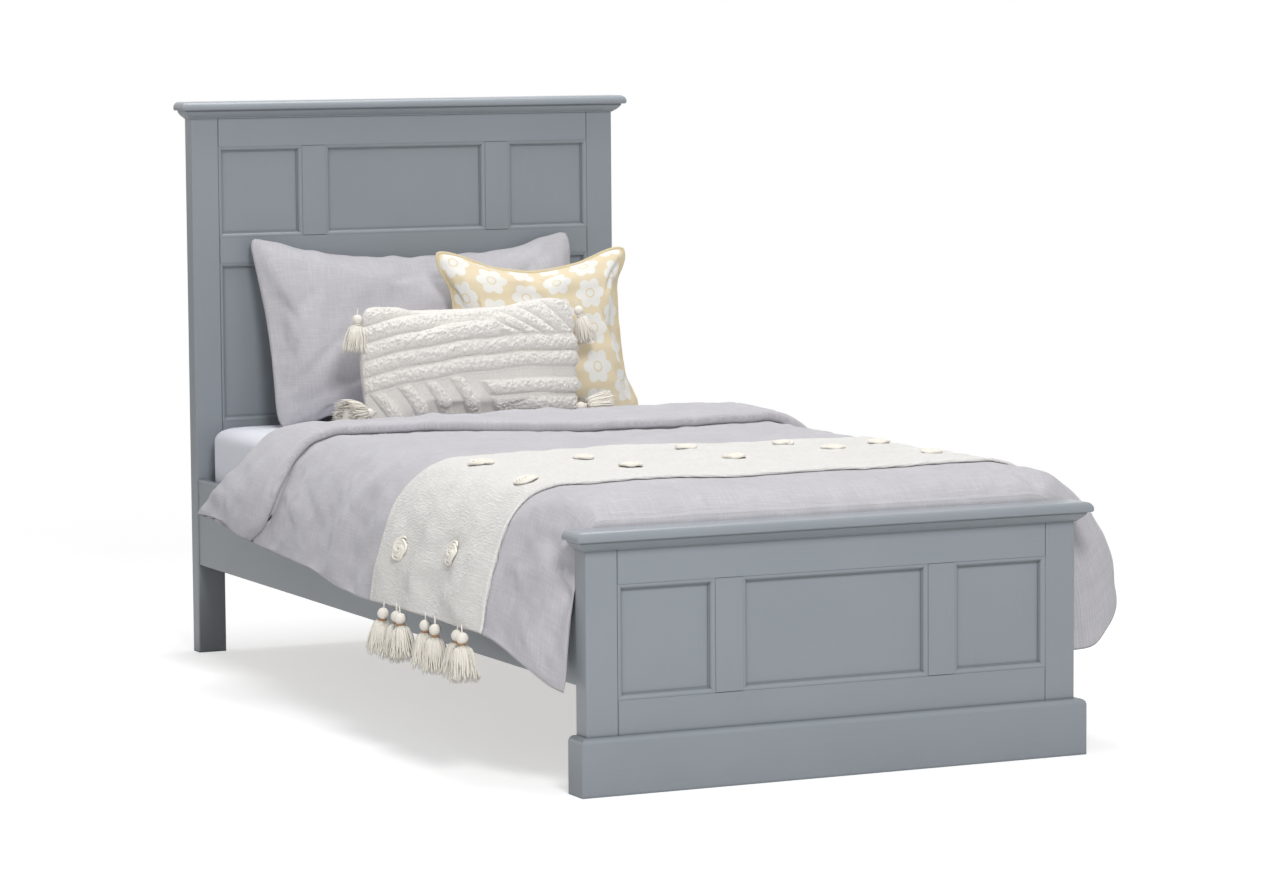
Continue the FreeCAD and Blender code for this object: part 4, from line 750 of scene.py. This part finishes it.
# %% [markdown]
# The throw is a woven slub cotton, laid straight across and hanging down both sides. It
# lies on the duvet's own surface, so it is that same function a few millimetres up. Its
# long edges bow a little where they pass over the shoulders.

# %% Throw
FOOT_EDGE = [(-1.0, 0.220), (-0.85, 0.217), (-0.74, 0.212), (-0.66, 0.226), (-0.57, 0.206),
             (-0.40, 0.205), (-0.2, 0.213), (0.06, 0.219), (0.33, 0.209), (0.49, 0.203),
             (0.75, 0.215), (1.0, 0.215)]
HEAD_EDGE = [(-1.0, 0.694), (-0.88, 0.704), (-0.75, 0.716), (-0.63, 0.704), (-0.50, 0.715),
             (-0.38, 0.738), (-0.14, 0.757), (0.13, 0.740), (0.41, 0.715), (0.6, 0.690),
             (0.8, 0.70), (1.0, 0.705)]
THROW_OVER, THROW_UNDER = 0.0052, 0.0014  # heights of its two faces over the duvet

s, r = np.meshgrid(0.999 * bunched(281, 0.6), (bunched(91, 0.6) + 1) / 2)
low_edge = smooth_through(s[0], *np.array(FOOT_EDGE).T)
high_edge = smooth_through(s[0], *np.array(HEAD_EDGE).T)
y = low_edge + (high_edge - low_edge) * r
lift = 0.0012 * ripples(s * HALF_CLOTH, y, 31, 0.07, 12) * np.sin(np.pi * r) ** 0.5
rolled = 0.0018 * (bump_at(r, 0.015) + bump_at(1 - r, 0.015))
throw_outer = duvet_outside(s, y, THROW_OVER + lift + rolled)
throw_inner = duvet_outside(s, y, THROW_UNDER + lift)
share_border(throw_outer, throw_inner)
throw = put_mesh("slub_throw", *closed_skin(throw_outer, throw_inner,
                                            np.stack([s * HALF_CLOTH, y], -1)), slub_cotton)

# %% [markdown]
# Knots of thick yarn are scattered over the throw, each an oval coil wound from one yarn
# about 45 mm wide. The yarn is a tube round a spiral path, which climbs a little towards
# the middle of the coil and follows the throw's own surface.

# %% Yarn
def soft_yarn(name, pale, dark, pitch):
    """Cotton yarn: fine hairs at the given spacing, soft and matt."""
    material, place = started(name)
    hairs = add(material, "TexNoise", {"Vector": place, "Scale": 1 / pitch, "Detail": 4.0})
    tone = add(material, "Mix", {0: hairs, 6: dark, 7: pale}, 2, data_type="RGBA")
    return ended(material, {
        "Base Color": tone, "Roughness": 0.9, "Specular IOR Level": 0.2,
        "Sheen Weight": 0.35, "Sheen Roughness": 0.5}, hairs, 0.7, 0.0008)


cream_yarn = soft_yarn("cream_cotton_yarn", "#F6F3EC", "#E0D9CC", 0.0022)
white_pile = soft_yarn("white_cotton_pile", "#F0EDE9", "#CFCBC6", 0.0030)
tan_thread = soft_yarn("tan_binding_thread", "#B98A5C", "#9A6E45", 0.0015)

# %% Knots on the throw
KNOTS_ON_TOP = np.array([(-0.422, 0.580), (-0.446, 0.315), (-0.213, 0.587), (-0.192, 0.430),
                         (0.023, 0.646), (0.020, 0.435), (0.234, 0.660), (0.273, 0.528),
                         (0.399, 0.589), (0.386, 0.355)])
KNOTS_ON_SIDE = np.array([(-0.861, 0.600), (-0.840, 0.380), (0.858, 0.600), (0.842, 0.380),
                          (0.70, 0.47)])
WINDINGS = 4.2
KNOT_SEAT = 0.0062      # height of the knots' underside over the duvet


def coils(places, sizes, turns, yarn=0.0027):
    """Tubes wound in ovals at (s, y), each from the rim to the middle.

    Its radius shrinks evenly, its height climbs as the square root of the way in, and
    both wobble a little, differently for each coil. Returns (coil, step, side) points.
    """
    t = np.linspace(0, 1, 150)[None]
    random = np.random.default_rng(43)
    odd = random.uniform(0, 6.3, (len(places), 1))
    angle = 2 * np.pi * WINDINGS * t + odd
    radius = (1 - 0.88 * t) * (1 + 0.05 * np.sin(2.3 * angle + odd) + 0.04 * np.sin(5.1 * angle))
    x, y = radius * np.cos(angle) * sizes[:, :1], radius * np.sin(angle) * sizes[:, 1:]
    cos, sin = np.cos(turns)[:, None], np.sin(turns)[:, None]
    x, y = x * cos - y * sin, x * sin + y * cos
    z = KNOT_SEAT + yarn * 0.6 + 0.0030 * np.sqrt(t) + 0.0008 * np.sin(3.7 * angle + odd)
    s, y = places[:, :1] + x / HALF_CLOTH, places[:, 1:] + y
    path = over_duvet(s, y, z)
    run = np.gradient(path, axis=1)
    run /= np.linalg.norm(run, axis=-1, keepdims=True)
    # The way out of the surface decides which side of the tube is its top.
    up = path - over_duvet(s, y, z - 0.01)
    side = np.cross(run, up)
    side /= np.linalg.norm(side, axis=-1, keepdims=True)
    top = np.cross(side, run)
    thick = yarn * np.minimum(1, np.minimum(t, 1 - t) * 60)
    turn = np.linspace(0, 2 * np.pi, 9)[:-1]
    return (path[:, :, None] + (thick[..., None] * np.cos(turn))[..., None] * side[:, :, None]
            + (thick[..., None] * np.sin(turn))[..., None] * top[:, :, None])


places = np.vstack([np.stack([np.sign(KNOTS_ON_TOP[:, 0]) * np.interp(
    np.abs(KNOTS_ON_TOP[:, 0]), HALF_SECTION[:, 0], KNOTS), KNOTS_ON_TOP[:, 1]], -1),
    KNOTS_ON_SIDE])
random = np.random.default_rng(41)
sizes = np.stack([random.uniform(0.019, 0.022, len(places)),
                  random.uniform(0.021, 0.025, len(places))], -1)
wound = coils(places, sizes, random.uniform(-0.5, 0.5, len(places)))
count, rows, columns = wound.shape[:3]
faces = np.vstack([ring_faces(rows, columns) + i * rows * columns for i in range(count)])
points = wound.reshape(-1, 3)
throw_knots = put_mesh("throw_yarn_knots", points, faces, points[:, :2], cream_yarn)
weld(throw_knots)

# %% [markdown]
# A tassel hangs from each knotted string at the throw's hem: a ball wound with yarn, a
# tan binding, and a skirt of cut strands that spreads under its own springiness. Every
# strand is a thin tube round its own path, all worked out at once. Strands differ in
# length and lean, from a fixed seed.

# %% Tassels
def strands(count, reach, depth, length, seed):
    """Tubes from the neck down, as points of (strand, step, side).

    Their paths spread as a bell does, by a power of the way down, each to its own share
    of the reach and depth, and end at uneven lengths.
    """
    random = np.random.default_rng(seed)
    angle = 2 * np.pi * (np.arange(count) * 0.618 + random.uniform(0, 0.08, count))
    share = np.sqrt(random.uniform(0, 1, count))
    long = length * random.uniform(0.90, 1.03, count)
    t = np.linspace(0, 1, 8)[None]
    spread = (0.24 + 0.76 * t ** 0.42) * (0.12 + 0.88 * share[:, None])
    wave = 0.0012 * np.sin(9 * t + random.uniform(0, 6.3, (count, 1))) * t
    x = reach * spread * np.cos(angle)[:, None] + wave
    y = depth * spread * np.sin(angle)[:, None] - wave
    z = -long[:, None] * t
    thick = 0.0011 * np.array([0, 1, 1, 1, 1, 1, 0.9, 0])[None]
    thick = thick * random.uniform(0.8, 1.2, (count, 1))
    sides = np.linspace(0, 2 * np.pi, 6)[:-1]
    return np.stack([x[..., None] + thick[..., None] * np.cos(sides),
                     y[..., None] + thick[..., None] * np.sin(sides),
                     np.broadcast_to(z[..., None], x.shape + (5,))], -1)


def wound_ball(radius, middle, rows=11, columns=22):
    """A ball with upright grooves of yarn: the radius ripples round it 14 times."""
    b, a = np.meshgrid(np.linspace(-np.pi / 2, np.pi / 2, rows),
                       np.linspace(0, 2 * np.pi, columns + 1)[:-1], indexing="ij")
    r = radius * (1 + 0.03 * np.sin(14 * a) * np.cos(b))
    return np.stack([r * np.cos(b) * np.cos(a), r * np.cos(b) * np.sin(a),
                     middle + r * np.sin(b)], -1)


def ring_tube(radius, thick, middle, rows=20, columns=8):
    """A closed ring of thread round the neck."""
    a, b = np.meshgrid(np.linspace(0, 2 * np.pi, rows + 1)[:-1],
                       np.linspace(0, 2 * np.pi, columns + 1)[:-1], indexing="ij")
    r = radius + thick * np.cos(b)
    return np.stack([r * np.cos(a), r * np.sin(a), middle + thick * 1.6 * np.sin(b)], -1)


def hang(points, at, down):
    """Turns a tassel's own down to a direction and moves it to a place."""
    turn = Vector((0, 0, -1)).rotation_difference(Vector(down)).to_matrix()
    return points.reshape(-1, 3) @ np.array(turn).T + at


def tassel(at, down, ball, reach, depth, length, count, seed, binding):
    """One tassel with its ball's top at a place: its yarn and its ring, as two lots of
    points, faces and number of finish."""
    neck = [0, 0, -2 * ball]
    core = wound_ball(1.0, 0.0, 7, 12) * [reach * 0.66, depth * 0.66, length * 0.46]
    core = core + neck - [0, 0, length * 0.45]
    string = wound_ball(1.0, 0.0, 5, 6) * [0.0016, 0.0016, 0.010] + [0, 0, 0.004]
    skirt = strands(count, reach, depth, length, seed) + neck
    points, faces = joined([(grid.reshape(-1, 3), ring_faces(*grid.shape[:2]))
                            for grid in (wound_ball(ball, -ball), core, string, *skirt)])
    ring = ring_tube(0.0058, 0.0016, -2 * ball - 0.001)
    return [(hang(points, at, down), faces, 0),
            (hang(ring, at, down), ring_faces(*ring.shape[:2]), binding)]


def gather(name, lots, finishes):
    """One object of several lots of points and faces, each with its number of finish."""
    points, faces = joined([lot[:2] for lot in lots])
    new = put_mesh(name, points, faces, points[:, :2], finishes[0])
    for finish in finishes[1:]:
        new.data.materials.append(finish)
    which = np.concatenate([np.full(len(faces), number) for _, faces, number in lots])
    new.data.polygons.foreach_set("material_index", which.astype(np.int32))
    weld(new, 1e-6)
    return new


# Each: share of the throw's width from its foot edge, and swing in degrees.
HEM_TASSELS = [(0.108, -8), (0.175, 8), (0.336, -3), (0.449, 3), (0.643, -14), (0.705, 0),
               (0.789, 14)]
HEM_BALL, HEM_REACH, HEM_DEPTH, HEM_LENGTH = 0.0108, 0.025, 0.036, 0.067
lots = []
for side in (-1, 1):
    for number, (share, swing) in enumerate(HEM_TASSELS):
        swung = np.radians(swing)
        at = (side * (0.6015 - 0.007 * (number % 2)), float(along(0.195 + share * 0.530)), 0.2600)
        lots += tassel(at, (0, np.sin(swung), -np.cos(swung)), HEM_BALL, HEM_REACH, HEM_DEPTH,
                       HEM_LENGTH, 170, 100 + number + 50 * (side > 0), 1)
throw_tassels = gather("throw_hem_tassels", lots, [cream_yarn, tan_thread])

# %% [markdown]
# A pillow or cushion is two cloths sewn round their edge and filled. The filling pushes
# the cloth out, the seam can't stretch, and so the sides draw in, the corners stand out
# and the cloth puckers along the seam. Blender's cloth with inner pressure does just
# that. Each cover starts as a slightly swollen flat pattern, is blown up for twenty
# frames without gravity, and is then brought to its measured size.

# %% Filling a cover
def cover_blank(width, height, draw, blunt, rows, columns, swell):
    """Outer and inner grid of a sewn cover, in its own frame: x across, y back, z up.

    The sides draw in by one length between the corners, and the corners are rounded off
    by another.
    """
    a, b = np.meshgrid(np.linspace(-1, 1, columns), np.linspace(-1, 1, rows))
    a = 0.8 * a + 0.2 * np.sin(a * np.pi / 2)
    b = 0.8 * b + 0.2 * np.sin(b * np.pi / 2)
    x = a * (width / 2 - draw * (1 - b ** 2) - blunt * b ** 10)
    z = b * (height / 2 - draw * (1 - a ** 2) - blunt * a ** 10)
    bulge = swell * np.clip((1 - a ** 2) * (1 - b ** 2), 0, 1) ** 0.45
    flat = np.stack([a * width / 2, b * height / 2], -1)
    return (np.stack([x, -bulge, z], -1), np.stack([x, bulge, z], -1), flat)


def blow_up(piece, pressure, frames=20, cap=0.03):
    """Cloth with inner pressure, stepped and applied; no point moves further than the cap."""
    start = np.empty(len(piece.data.vertices) * 3)
    piece.data.vertices.foreach_get("co", start)
    cloth = piece.modifiers.new("filling", "CLOTH")
    cloth.settings.effector_weights.gravity = 0
    for name, value in dict(use_pressure=True, uniform_pressure_force=pressure, quality=6,
                            mass=0.25, tension_stiffness=30, compression_stiffness=30,
                            shear_stiffness=12, bending_stiffness=0.4).items():
        setattr(cloth.settings, name, value)
    cloth.point_cache.frame_start = 1
    cloth.point_cache.frame_end = frames
    for frame_number in range(1, frames + 1):
        bpy.context.scene.frame_set(frame_number)
    shown = piece.evaluated_get(bpy.context.evaluated_depsgraph_get())
    end = np.empty_like(start)
    shown.data.vertices.foreach_get("co", end)
    piece.modifiers.remove(cloth)
    bpy.context.scene.frame_set(1)
    move = (end - start).reshape(-1, 3)
    far = np.linalg.norm(move, axis=1, keepdims=True)
    move *= np.minimum(1, cap / np.maximum(far, 1e-9))
    print(piece.name, "blown up, most moved", round(float(far.max()) * 1000), "mm")
    return start.reshape(-1, 3) + move


def leaning(grids, node, lean):
    """Leans grids back by degrees and puts the middle of their box at a node's."""
    turn = np.radians(lean)
    stood = [np.stack([grid[..., 0], grid[..., 1] * np.cos(turn) + grid[..., 2] * np.sin(turn),
                       grid[..., 2] * np.cos(turn) - grid[..., 1] * np.sin(turn)], -1)
             for grid in grids]
    everything = np.concatenate([grid.reshape(-1, 3) for grid in stood])
    low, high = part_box(node)
    shift = (np.array(low) + np.array(high) - everything.min(0) - everything.max(0)) / 2
    return [grid + shift for grid in stood]


def finer(grid, rows, columns):
    """The same surface with more rows and columns, by smooth curves both ways."""
    grid = smooth_through(np.linspace(0, len(grid) - 1, rows), np.arange(len(grid)), grid)
    grid = grid.transpose(1, 0, 2)
    grid = smooth_through(np.linspace(0, len(grid) - 1, columns), np.arange(len(grid)), grid)
    return grid.transpose(1, 0, 2)


def filled_cover(name, width, height, thick, draw, blunt, pressure, rows, columns):
    """Outer and inner grid and flat pattern of a cover that was blown up.

    The filling works on 29 by 45 points, which is quick, and the result is made finer
    and brought to its width, thickness and height.
    """
    coarse_rows, coarse_columns = 29, 45
    outer, inner, flat = cover_blank(width, height, draw, blunt, coarse_rows, coarse_columns,
                                     thick * 0.36)
    trial = put_mesh(name + "_trial", *closed_skin(outer, inner, flat), linen)
    points = blow_up(trial, pressure)
    bpy.data.objects.remove(trial)
    count = outer.shape[0] * outer.shape[1]
    outer = points[:count].reshape(outer.shape)
    inner = outer.copy()
    inner[1:-1, 1:-1] = points[count:].reshape(coarse_rows - 2, coarse_columns - 2, 3)
    outer, inner = finer(outer, rows, columns), finer(inner, rows, columns)
    everything = np.concatenate([outer, inner]).reshape(-1, 3)
    low, high = everything.min(0), everything.max(0)
    scale = np.array([width, thick, height]) / (high - low)
    outer, inner = ((grid - (low + high) / 2) * scale for grid in (outer, inner))
    return outer, inner, finer(np.dstack([flat, flat[..., 0] * 0]), rows, columns)[..., :2]


def seam_cord(loop, across, through, outward):
    """A flat or round cord along a closed loop: an ellipse carried round it."""
    ahead = np.roll(loop, -1, 0) - np.roll(loop, 1, 0)
    ahead /= np.linalg.norm(ahead, axis=1, keepdims=True)
    side = np.cross(ahead, outward)
    side /= np.linalg.norm(side, axis=1, keepdims=True)
    turn = np.linspace(0, 2 * np.pi, 9)[:-1]
    rings = (loop[:, None] + side[:, None] * (across * np.cos(turn))[None, :, None]
             + np.asarray(outward)[None, None] * (through * np.sin(turn))[None, :, None])
    numbers = np.arange(rings.shape[0] * 8).reshape(-1, 8)
    numbers = np.vstack([numbers, numbers[:1]])
    faces = quads(np.hstack([numbers, numbers[:, :1]]))
    length = np.cumsum(np.linalg.norm(np.roll(loop, -1, 0) - loop, axis=1))
    flat = np.stack(np.broadcast_arrays(length[:, None], turn[None] * across), -1)
    return rings.reshape(-1, 3), faces, flat.reshape(-1, 2)


def border_of(rows, columns):
    """Numbers of the points round a grid's border, in order."""
    grid = np.arange(rows * columns).reshape(rows, columns)
    return np.concatenate([grid[0, :-1], grid[:-1, -1], grid[-1, :0:-1], grid[:0:-1, 0]])


print("filling ready")

# %% [markdown]
# The sleeping pillow wears the duvet's linen. It stands on its long edge against the
# headboard. Its top corners stand up a little, since the filling sinks away from them,
# and creases run up from its lower left corner, where it carries its own weight.

# %% Pillow
def pillow_form(grid):
    """Slacker towards the top, with the top edge sagging between its corners."""
    x, y, z = np.moveaxis(grid, -1, 0)
    upper = np.clip(z / 0.20, -1, 1)
    sag = 0.030 * (1 - np.clip(np.abs(x + 0.02) / 0.36, 0, 1) ** 2)
    sag = (sag + 0.014 * np.clip(x / 0.36, 0, 1)) * np.clip(upper, 0, 1)
    y = y * (1 - 0.18 * np.clip(upper, -0.4, 1)) - 0.004 * ripples(x, z, 51, 0.16) * (
        1 - np.clip(np.abs(x) / 0.365, 0, 1) ** 4)
    y = y + 0.0012 * ripples(x, z * 0.6, 53, 0.05, 12)
    for start, end, width in (((-0.34, -0.13), (-0.20, -0.02), 0.012),
                              ((-0.33, -0.16), (-0.12, -0.10), 0.010),
                              ((-0.35, -0.06), (-0.27, 0.07), 0.012),
                              ((0.30, 0.16), (0.20, 0.08), 0.014)):
        y = y + np.sign(-y) * 0.0035 * bump_at(line_distance(x, z, start, end), width)
    return np.stack([x * (1 - 0.028 * (1 - upper)), y,
                     z - sag + 0.0015 * ripples(x, z, 52, 0.08)], -1)


outer, inner, flat = filled_cover("pillow", 0.735, 0.405, 0.112, 0.012, 0.012, 4.0, 75, 121)
outer, inner = leaning([pillow_form(outer), pillow_form(inner)], "pillow", 15)
pillow = put_mesh("linen_pillow", *closed_skin(outer, inner, flat), linen)

# %% [markdown]
# The square cushion is printed cotton with a flat piped edge. The print here is a plain
# one of round rosettes in a half drop, white on a straw ground, in the colours and scale
# of such cloths. A rosette is a circle whose radius swings six times round it, with a
# ring and a dot left in the ground's colour, all worked out from the flat pattern.

# %% Printed cotton
PRINT_WIDE, PRINT_TALL = 0.072, 0.078  # the pattern's repeat


def printed_cotton():
    """White six-petalled rosettes, 72 mm apart, every second column half a step down."""
    material, pattern = started("printed_cotton", "UVMap", 0)
    values = {name: add(material, "SeparateXYZ", {0: pattern}, number)
              for number, name in enumerate("uv")}
    # Each step: what it is called, the sum, and its one or two terms.
    for name, operation, *terms in (
            ("across", "DIVIDE", "u", PRINT_WIDE), ("column", "FLOOR", "across"),
            ("odd", "PINGPONG", "column", 1.0), ("drop", "MULTIPLY", "odd", 0.5),
            ("rows", "DIVIDE", "v", PRINT_TALL), ("down", "ADD", "rows", "drop"),
            ("in_column", "FRACT", "across"), ("x", "SUBTRACT", "in_column", 0.5),
            ("in_row", "FRACT", "down"), ("y", "SUBTRACT", "in_row", 0.5),
            ("xx", "MULTIPLY", "x", "x"), ("yy", "MULTIPLY", "y", "y"),
            ("square", "ADD", "xx", "yy"), ("radius", "SQRT", "square"),
            ("angle", "ARCTAN2", "y", "x"), ("thrice", "MULTIPLY", "angle", 3.0),
            ("swing", "COSINE", "thrice"), ("petals", "ABSOLUTE", "swing"),
            ("longer", "MULTIPLY", "petals", 0.13), ("reach", "ADD", "longer", 0.33),
            ("inside", "SUBTRACT", "reach", "radius"),
            ("off_ring", "SUBTRACT", "radius", 0.125), ("from_ring", "ABSOLUTE", "off_ring")):
        values[name] = add(material, "Math", {number: values.get(term, term)
                                              for number, term in enumerate(terms)},
                           operation=operation)
    inside = add(material, "MapRange", {0: values["inside"], 1: -0.012, 2: 0.012})
    gap = add(material, "MapRange", {0: values["from_ring"], 1: 0.012, 2: 0.030})
    white = add(material, "Math", {0: inside, 1: gap}, operation="MULTIPLY")
    worn = add(material, "TexNoise", {"Vector": pattern, "Scale": 120.0, "Detail": 3.0})
    worn = add(material, "Math", {0: worn, 1: 0.25}, operation="MULTIPLY")
    tone = add(material, "Mix", {0: white, 6: "#DCCDAD", 7: "#E4E3DF"}, 2, data_type="RGBA")
    tone = add(material, "Mix", {0: worn, 6: tone, 7: "#DDD7C8"}, 2, data_type="RGBA")
    threads = add(material, "TexWave", {"Vector": pattern, "Scale": 230.0, "Distortion": 1.0}, 1)
    return ended(material, {
        "Base Color": tone, "Roughness": 0.82, "Specular IOR Level": 0.25,
        "Sheen Weight": 0.15, "Sheen Roughness": 0.5}, threads, 0.4, 0.0003)


print_cloth = printed_cotton()
piping_cloth = woven_cloth("straw_cotton_piping", "#DED0B0", "#C9B890", 0.0014, 0.0004)

# %% Square cushion
def square_form(grid):
    """Slacker towards the top, its upper seam hollow, with small puckers."""
    x, y, z = np.moveaxis(grid, -1, 0)
    upper = z / 0.18
    y = y * (1 - 0.15 * np.clip(upper, -0.5, 1)) + 0.0012 * ripples(x, z, 55, 0.06, 12)
    sag = 0.036 * (1 - np.clip(np.abs(x) / 0.21, 0, 1) ** 1.4) * np.clip(upper, 0, 1)
    return np.stack([x, y, z - sag], -1)


PRINT_LEAN = 12         # degrees
SQUARE_ROWS, SQUARE_COLUMNS = 75, 91
outer, inner, flat = filled_cover("square", 0.428, 0.360, 0.094, 0.011, 0.010, 5.0,
                                  SQUARE_ROWS, SQUARE_COLUMNS)
outer, inner = leaning([square_form(outer), square_form(inner)], "print_cushion", PRINT_LEAN)
print_cushion = put_mesh("printed_square_cushion", *closed_skin(outer, inner, flat),
                         print_cloth)
loop = outer.reshape(-1, 3)[border_of(SQUARE_ROWS, SQUARE_COLUMNS)]
facing = (0, -np.cos(np.radians(PRINT_LEAN)), np.sin(np.radians(PRINT_LEAN)))
piping = put_mesh("printed_cushion_piping", *seam_cord(loop, 0.0045, 0.0016, facing),
                  piping_cloth)

# %% [markdown]
# The lumbar cushion is cotton tufted with thick loop pile in rows. Four long rows rise
# across it. Above their right end the rows fan out aslant, below them on the left they
# stand apart aslant, and on the right three level ones lie close. Each row is a smooth
# hump on the blown up cover, and the curls of the pile are noise a few millimetres wide.

# %% Tufted rows
def row_height(u, v):
    """Height of the pile at a point seen from the front, from 0 in a gap to 1 on a row."""
    def rows(value, pitch, width):
        phase = (value / pitch) % 1 - 0.5
        return np.clip(1 - (np.abs(phase) * pitch / (width / 2)) ** 2, 0, 1) ** 0.5

    def over(value, soft=0.010):
        return np.clip(value / soft + 0.5, 0, 1)

    rise = v - 0.040 * (1 - ((0.16 - u) / 0.403) ** 2) + 0.050 + 0.0012 * np.sin(u * 47)
    long_rows = rows(rise, 0.0345, 0.0335)
    way = (0.126 - v) / 0.062
    fan = rows((u + 0.036 - 0.136 * way) / (0.0685 - 0.0245 * np.clip(way, 0, 1.5)), 1.0, 0.94)
    aslant = rows(u + 0.68 * v + 0.098, 0.060, 0.034)
    level = rows(v + 0.048 + 0.0175 + 0.0012 * np.sin(u * 40), 0.035, 0.031)
    top_right = over(v - 0.058) * over(u - 1.1 * (0.116 - v))
    below = over(-rise - 0.004)
    low_right = below * over(u + 0.020 + 0.68 * v) * over(-0.031 - v)
    low_left = below * over(-0.034 - u - 0.68 * v)
    lengths = over(rise) * (1 - top_right)
    return fan * top_right + aslant * low_left + level * low_right + long_rows * lengths


def averaged(grid, times):
    """Each value becomes the mean of itself and its neighbours, a number of times."""
    for axis in (0, 1) * times:
        steps = np.arange(grid.shape[axis])
        grid = sum(grid.take(np.clip(steps + k, 0, steps[-1]), axis) for k in (-1, 0, 1)) / 3
    return grid


def fleece(shape, seed, times):
    """Even random heights of spread 1, with spots as wide as the averaging makes them."""
    noise = averaged(np.random.default_rng(seed).standard_normal(shape), times)
    return noise / noise.std()


LUMBAR_ROWS, LUMBAR_COLUMNS = 221, 381
outer, inner, flat = filled_cover("lumbar", 0.486, 0.262, 0.092, -0.012, 0.009, 4.0,
                                  LUMBAR_ROWS, LUMBAR_COLUMNS)
# Its upper half stands up to a twentieth higher towards the right.
for grid in (outer, inner):
    grid[..., 2] *= 1 + 0.05 * np.clip(grid[..., 0] / 0.24, 0, 1) * (grid[..., 2] > 0)
# The blown up cover's small tucks are evened out before the rows go on.
inside = taper(0.5 - np.abs(np.linspace(-0.5, 0.5, LUMBAR_ROWS)), 0.04)
outer = outer + (averaged(outer, 60) - outer) * inside[:, None, None]
u, v = outer[..., 0], outer[..., 2]
pile = row_height(u, v)
edge = taper(np.minimum(0.243 - np.abs(flat[..., 0]), 0.126 - np.abs(flat[..., 1])), 0.02)
curls = 0.9 * fleece(u.shape, 61, 1) + 0.5 * fleece(u.shape, 62, 5)
raised = (0.0115 * pile + 0.00105 * curls * (0.05 + pile)) * edge
outer = outer + normals_of(averaged(outer, 30)) * raised[..., None]
outer, inner = leaning([outer, inner], "tufted_cushion", 10)
tufted_cushion = put_mesh("tufted_lumbar_cushion", *closed_skin(outer, inner, flat),
                          white_pile)

# %% [markdown]
# Each corner of the lumbar cushion has the same kind of tassel. The upper ones hang
# beside it, and the lower ones lie on the bed and spread.

# %% Cushion tassels
CORNER_BALL, CORNER_LENGTH = 0.010, 0.062
low_left, low_right, high_left, high_right = outer[[0, 0, -1, -1], [0, -1, 0, -1]]
lots = []
for at, down, reach, count, seed in (
        (high_left + [-0.024, -0.012, -0.010], (-0.10, -0.05, -0.99), 0.030, 130, 71),
        (high_right + [0.026, -0.014, -0.012], (0.26, -0.05, -0.96), 0.023, 100, 72),
        (low_left + [-0.012, -0.014, 0.042], (-0.93, -0.34, -0.05), 0.038, 320, 73),
        (low_right + [0.014, -0.012, 0.036], (1.0, -0.10, 0.03), 0.031, 160, 74)):
    lots += tassel(at, down, CORNER_BALL, reach, reach, CORNER_LENGTH, count, seed, 0)
cushion_tassels = gather("cushion_corner_tassels", lots, [cream_yarn])

# %% [markdown]
# Each new piece now rides on the CAD body it belongs to and stands for that body's plain
# solid.

# %% Hand the pieces to the frame
for piece, body, nodes, slot, fill in (
        (mattress, "mattress", ["mattress"], "mattress_cover", 1.0),
        (fitted_sheet, "mattress", ["fitted_sheet"], "white_cotton", None),
        (duvet, "duvet", ["duvet"], "grey_linen", 0.3),
        (throw, "throw", ["throw"], "cream_weave", None),
        (throw_knots, "throw", [], "cream_yarn", None),
        (throw_tassels, "throw", ["throw_tassels"], "cream_yarn", None),
        (pillow, "pillow", ["pillow"], "grey_linen", 0.6),
        (print_cushion, "print_cushion", ["print_cushion"], "printed_cotton", 0.8),
        (piping, "print_cushion", [], "printed_cotton", None),
        (tufted_cushion, "tufted_cushion", ["tufted_cushion"], "white_tufting", 0.8),
        (cushion_tassels, "tufted_cushion", ["cushion_tassels"], "cream_yarn", None)):
    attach(piece, body)
    if nodes:
        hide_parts(*nodes)
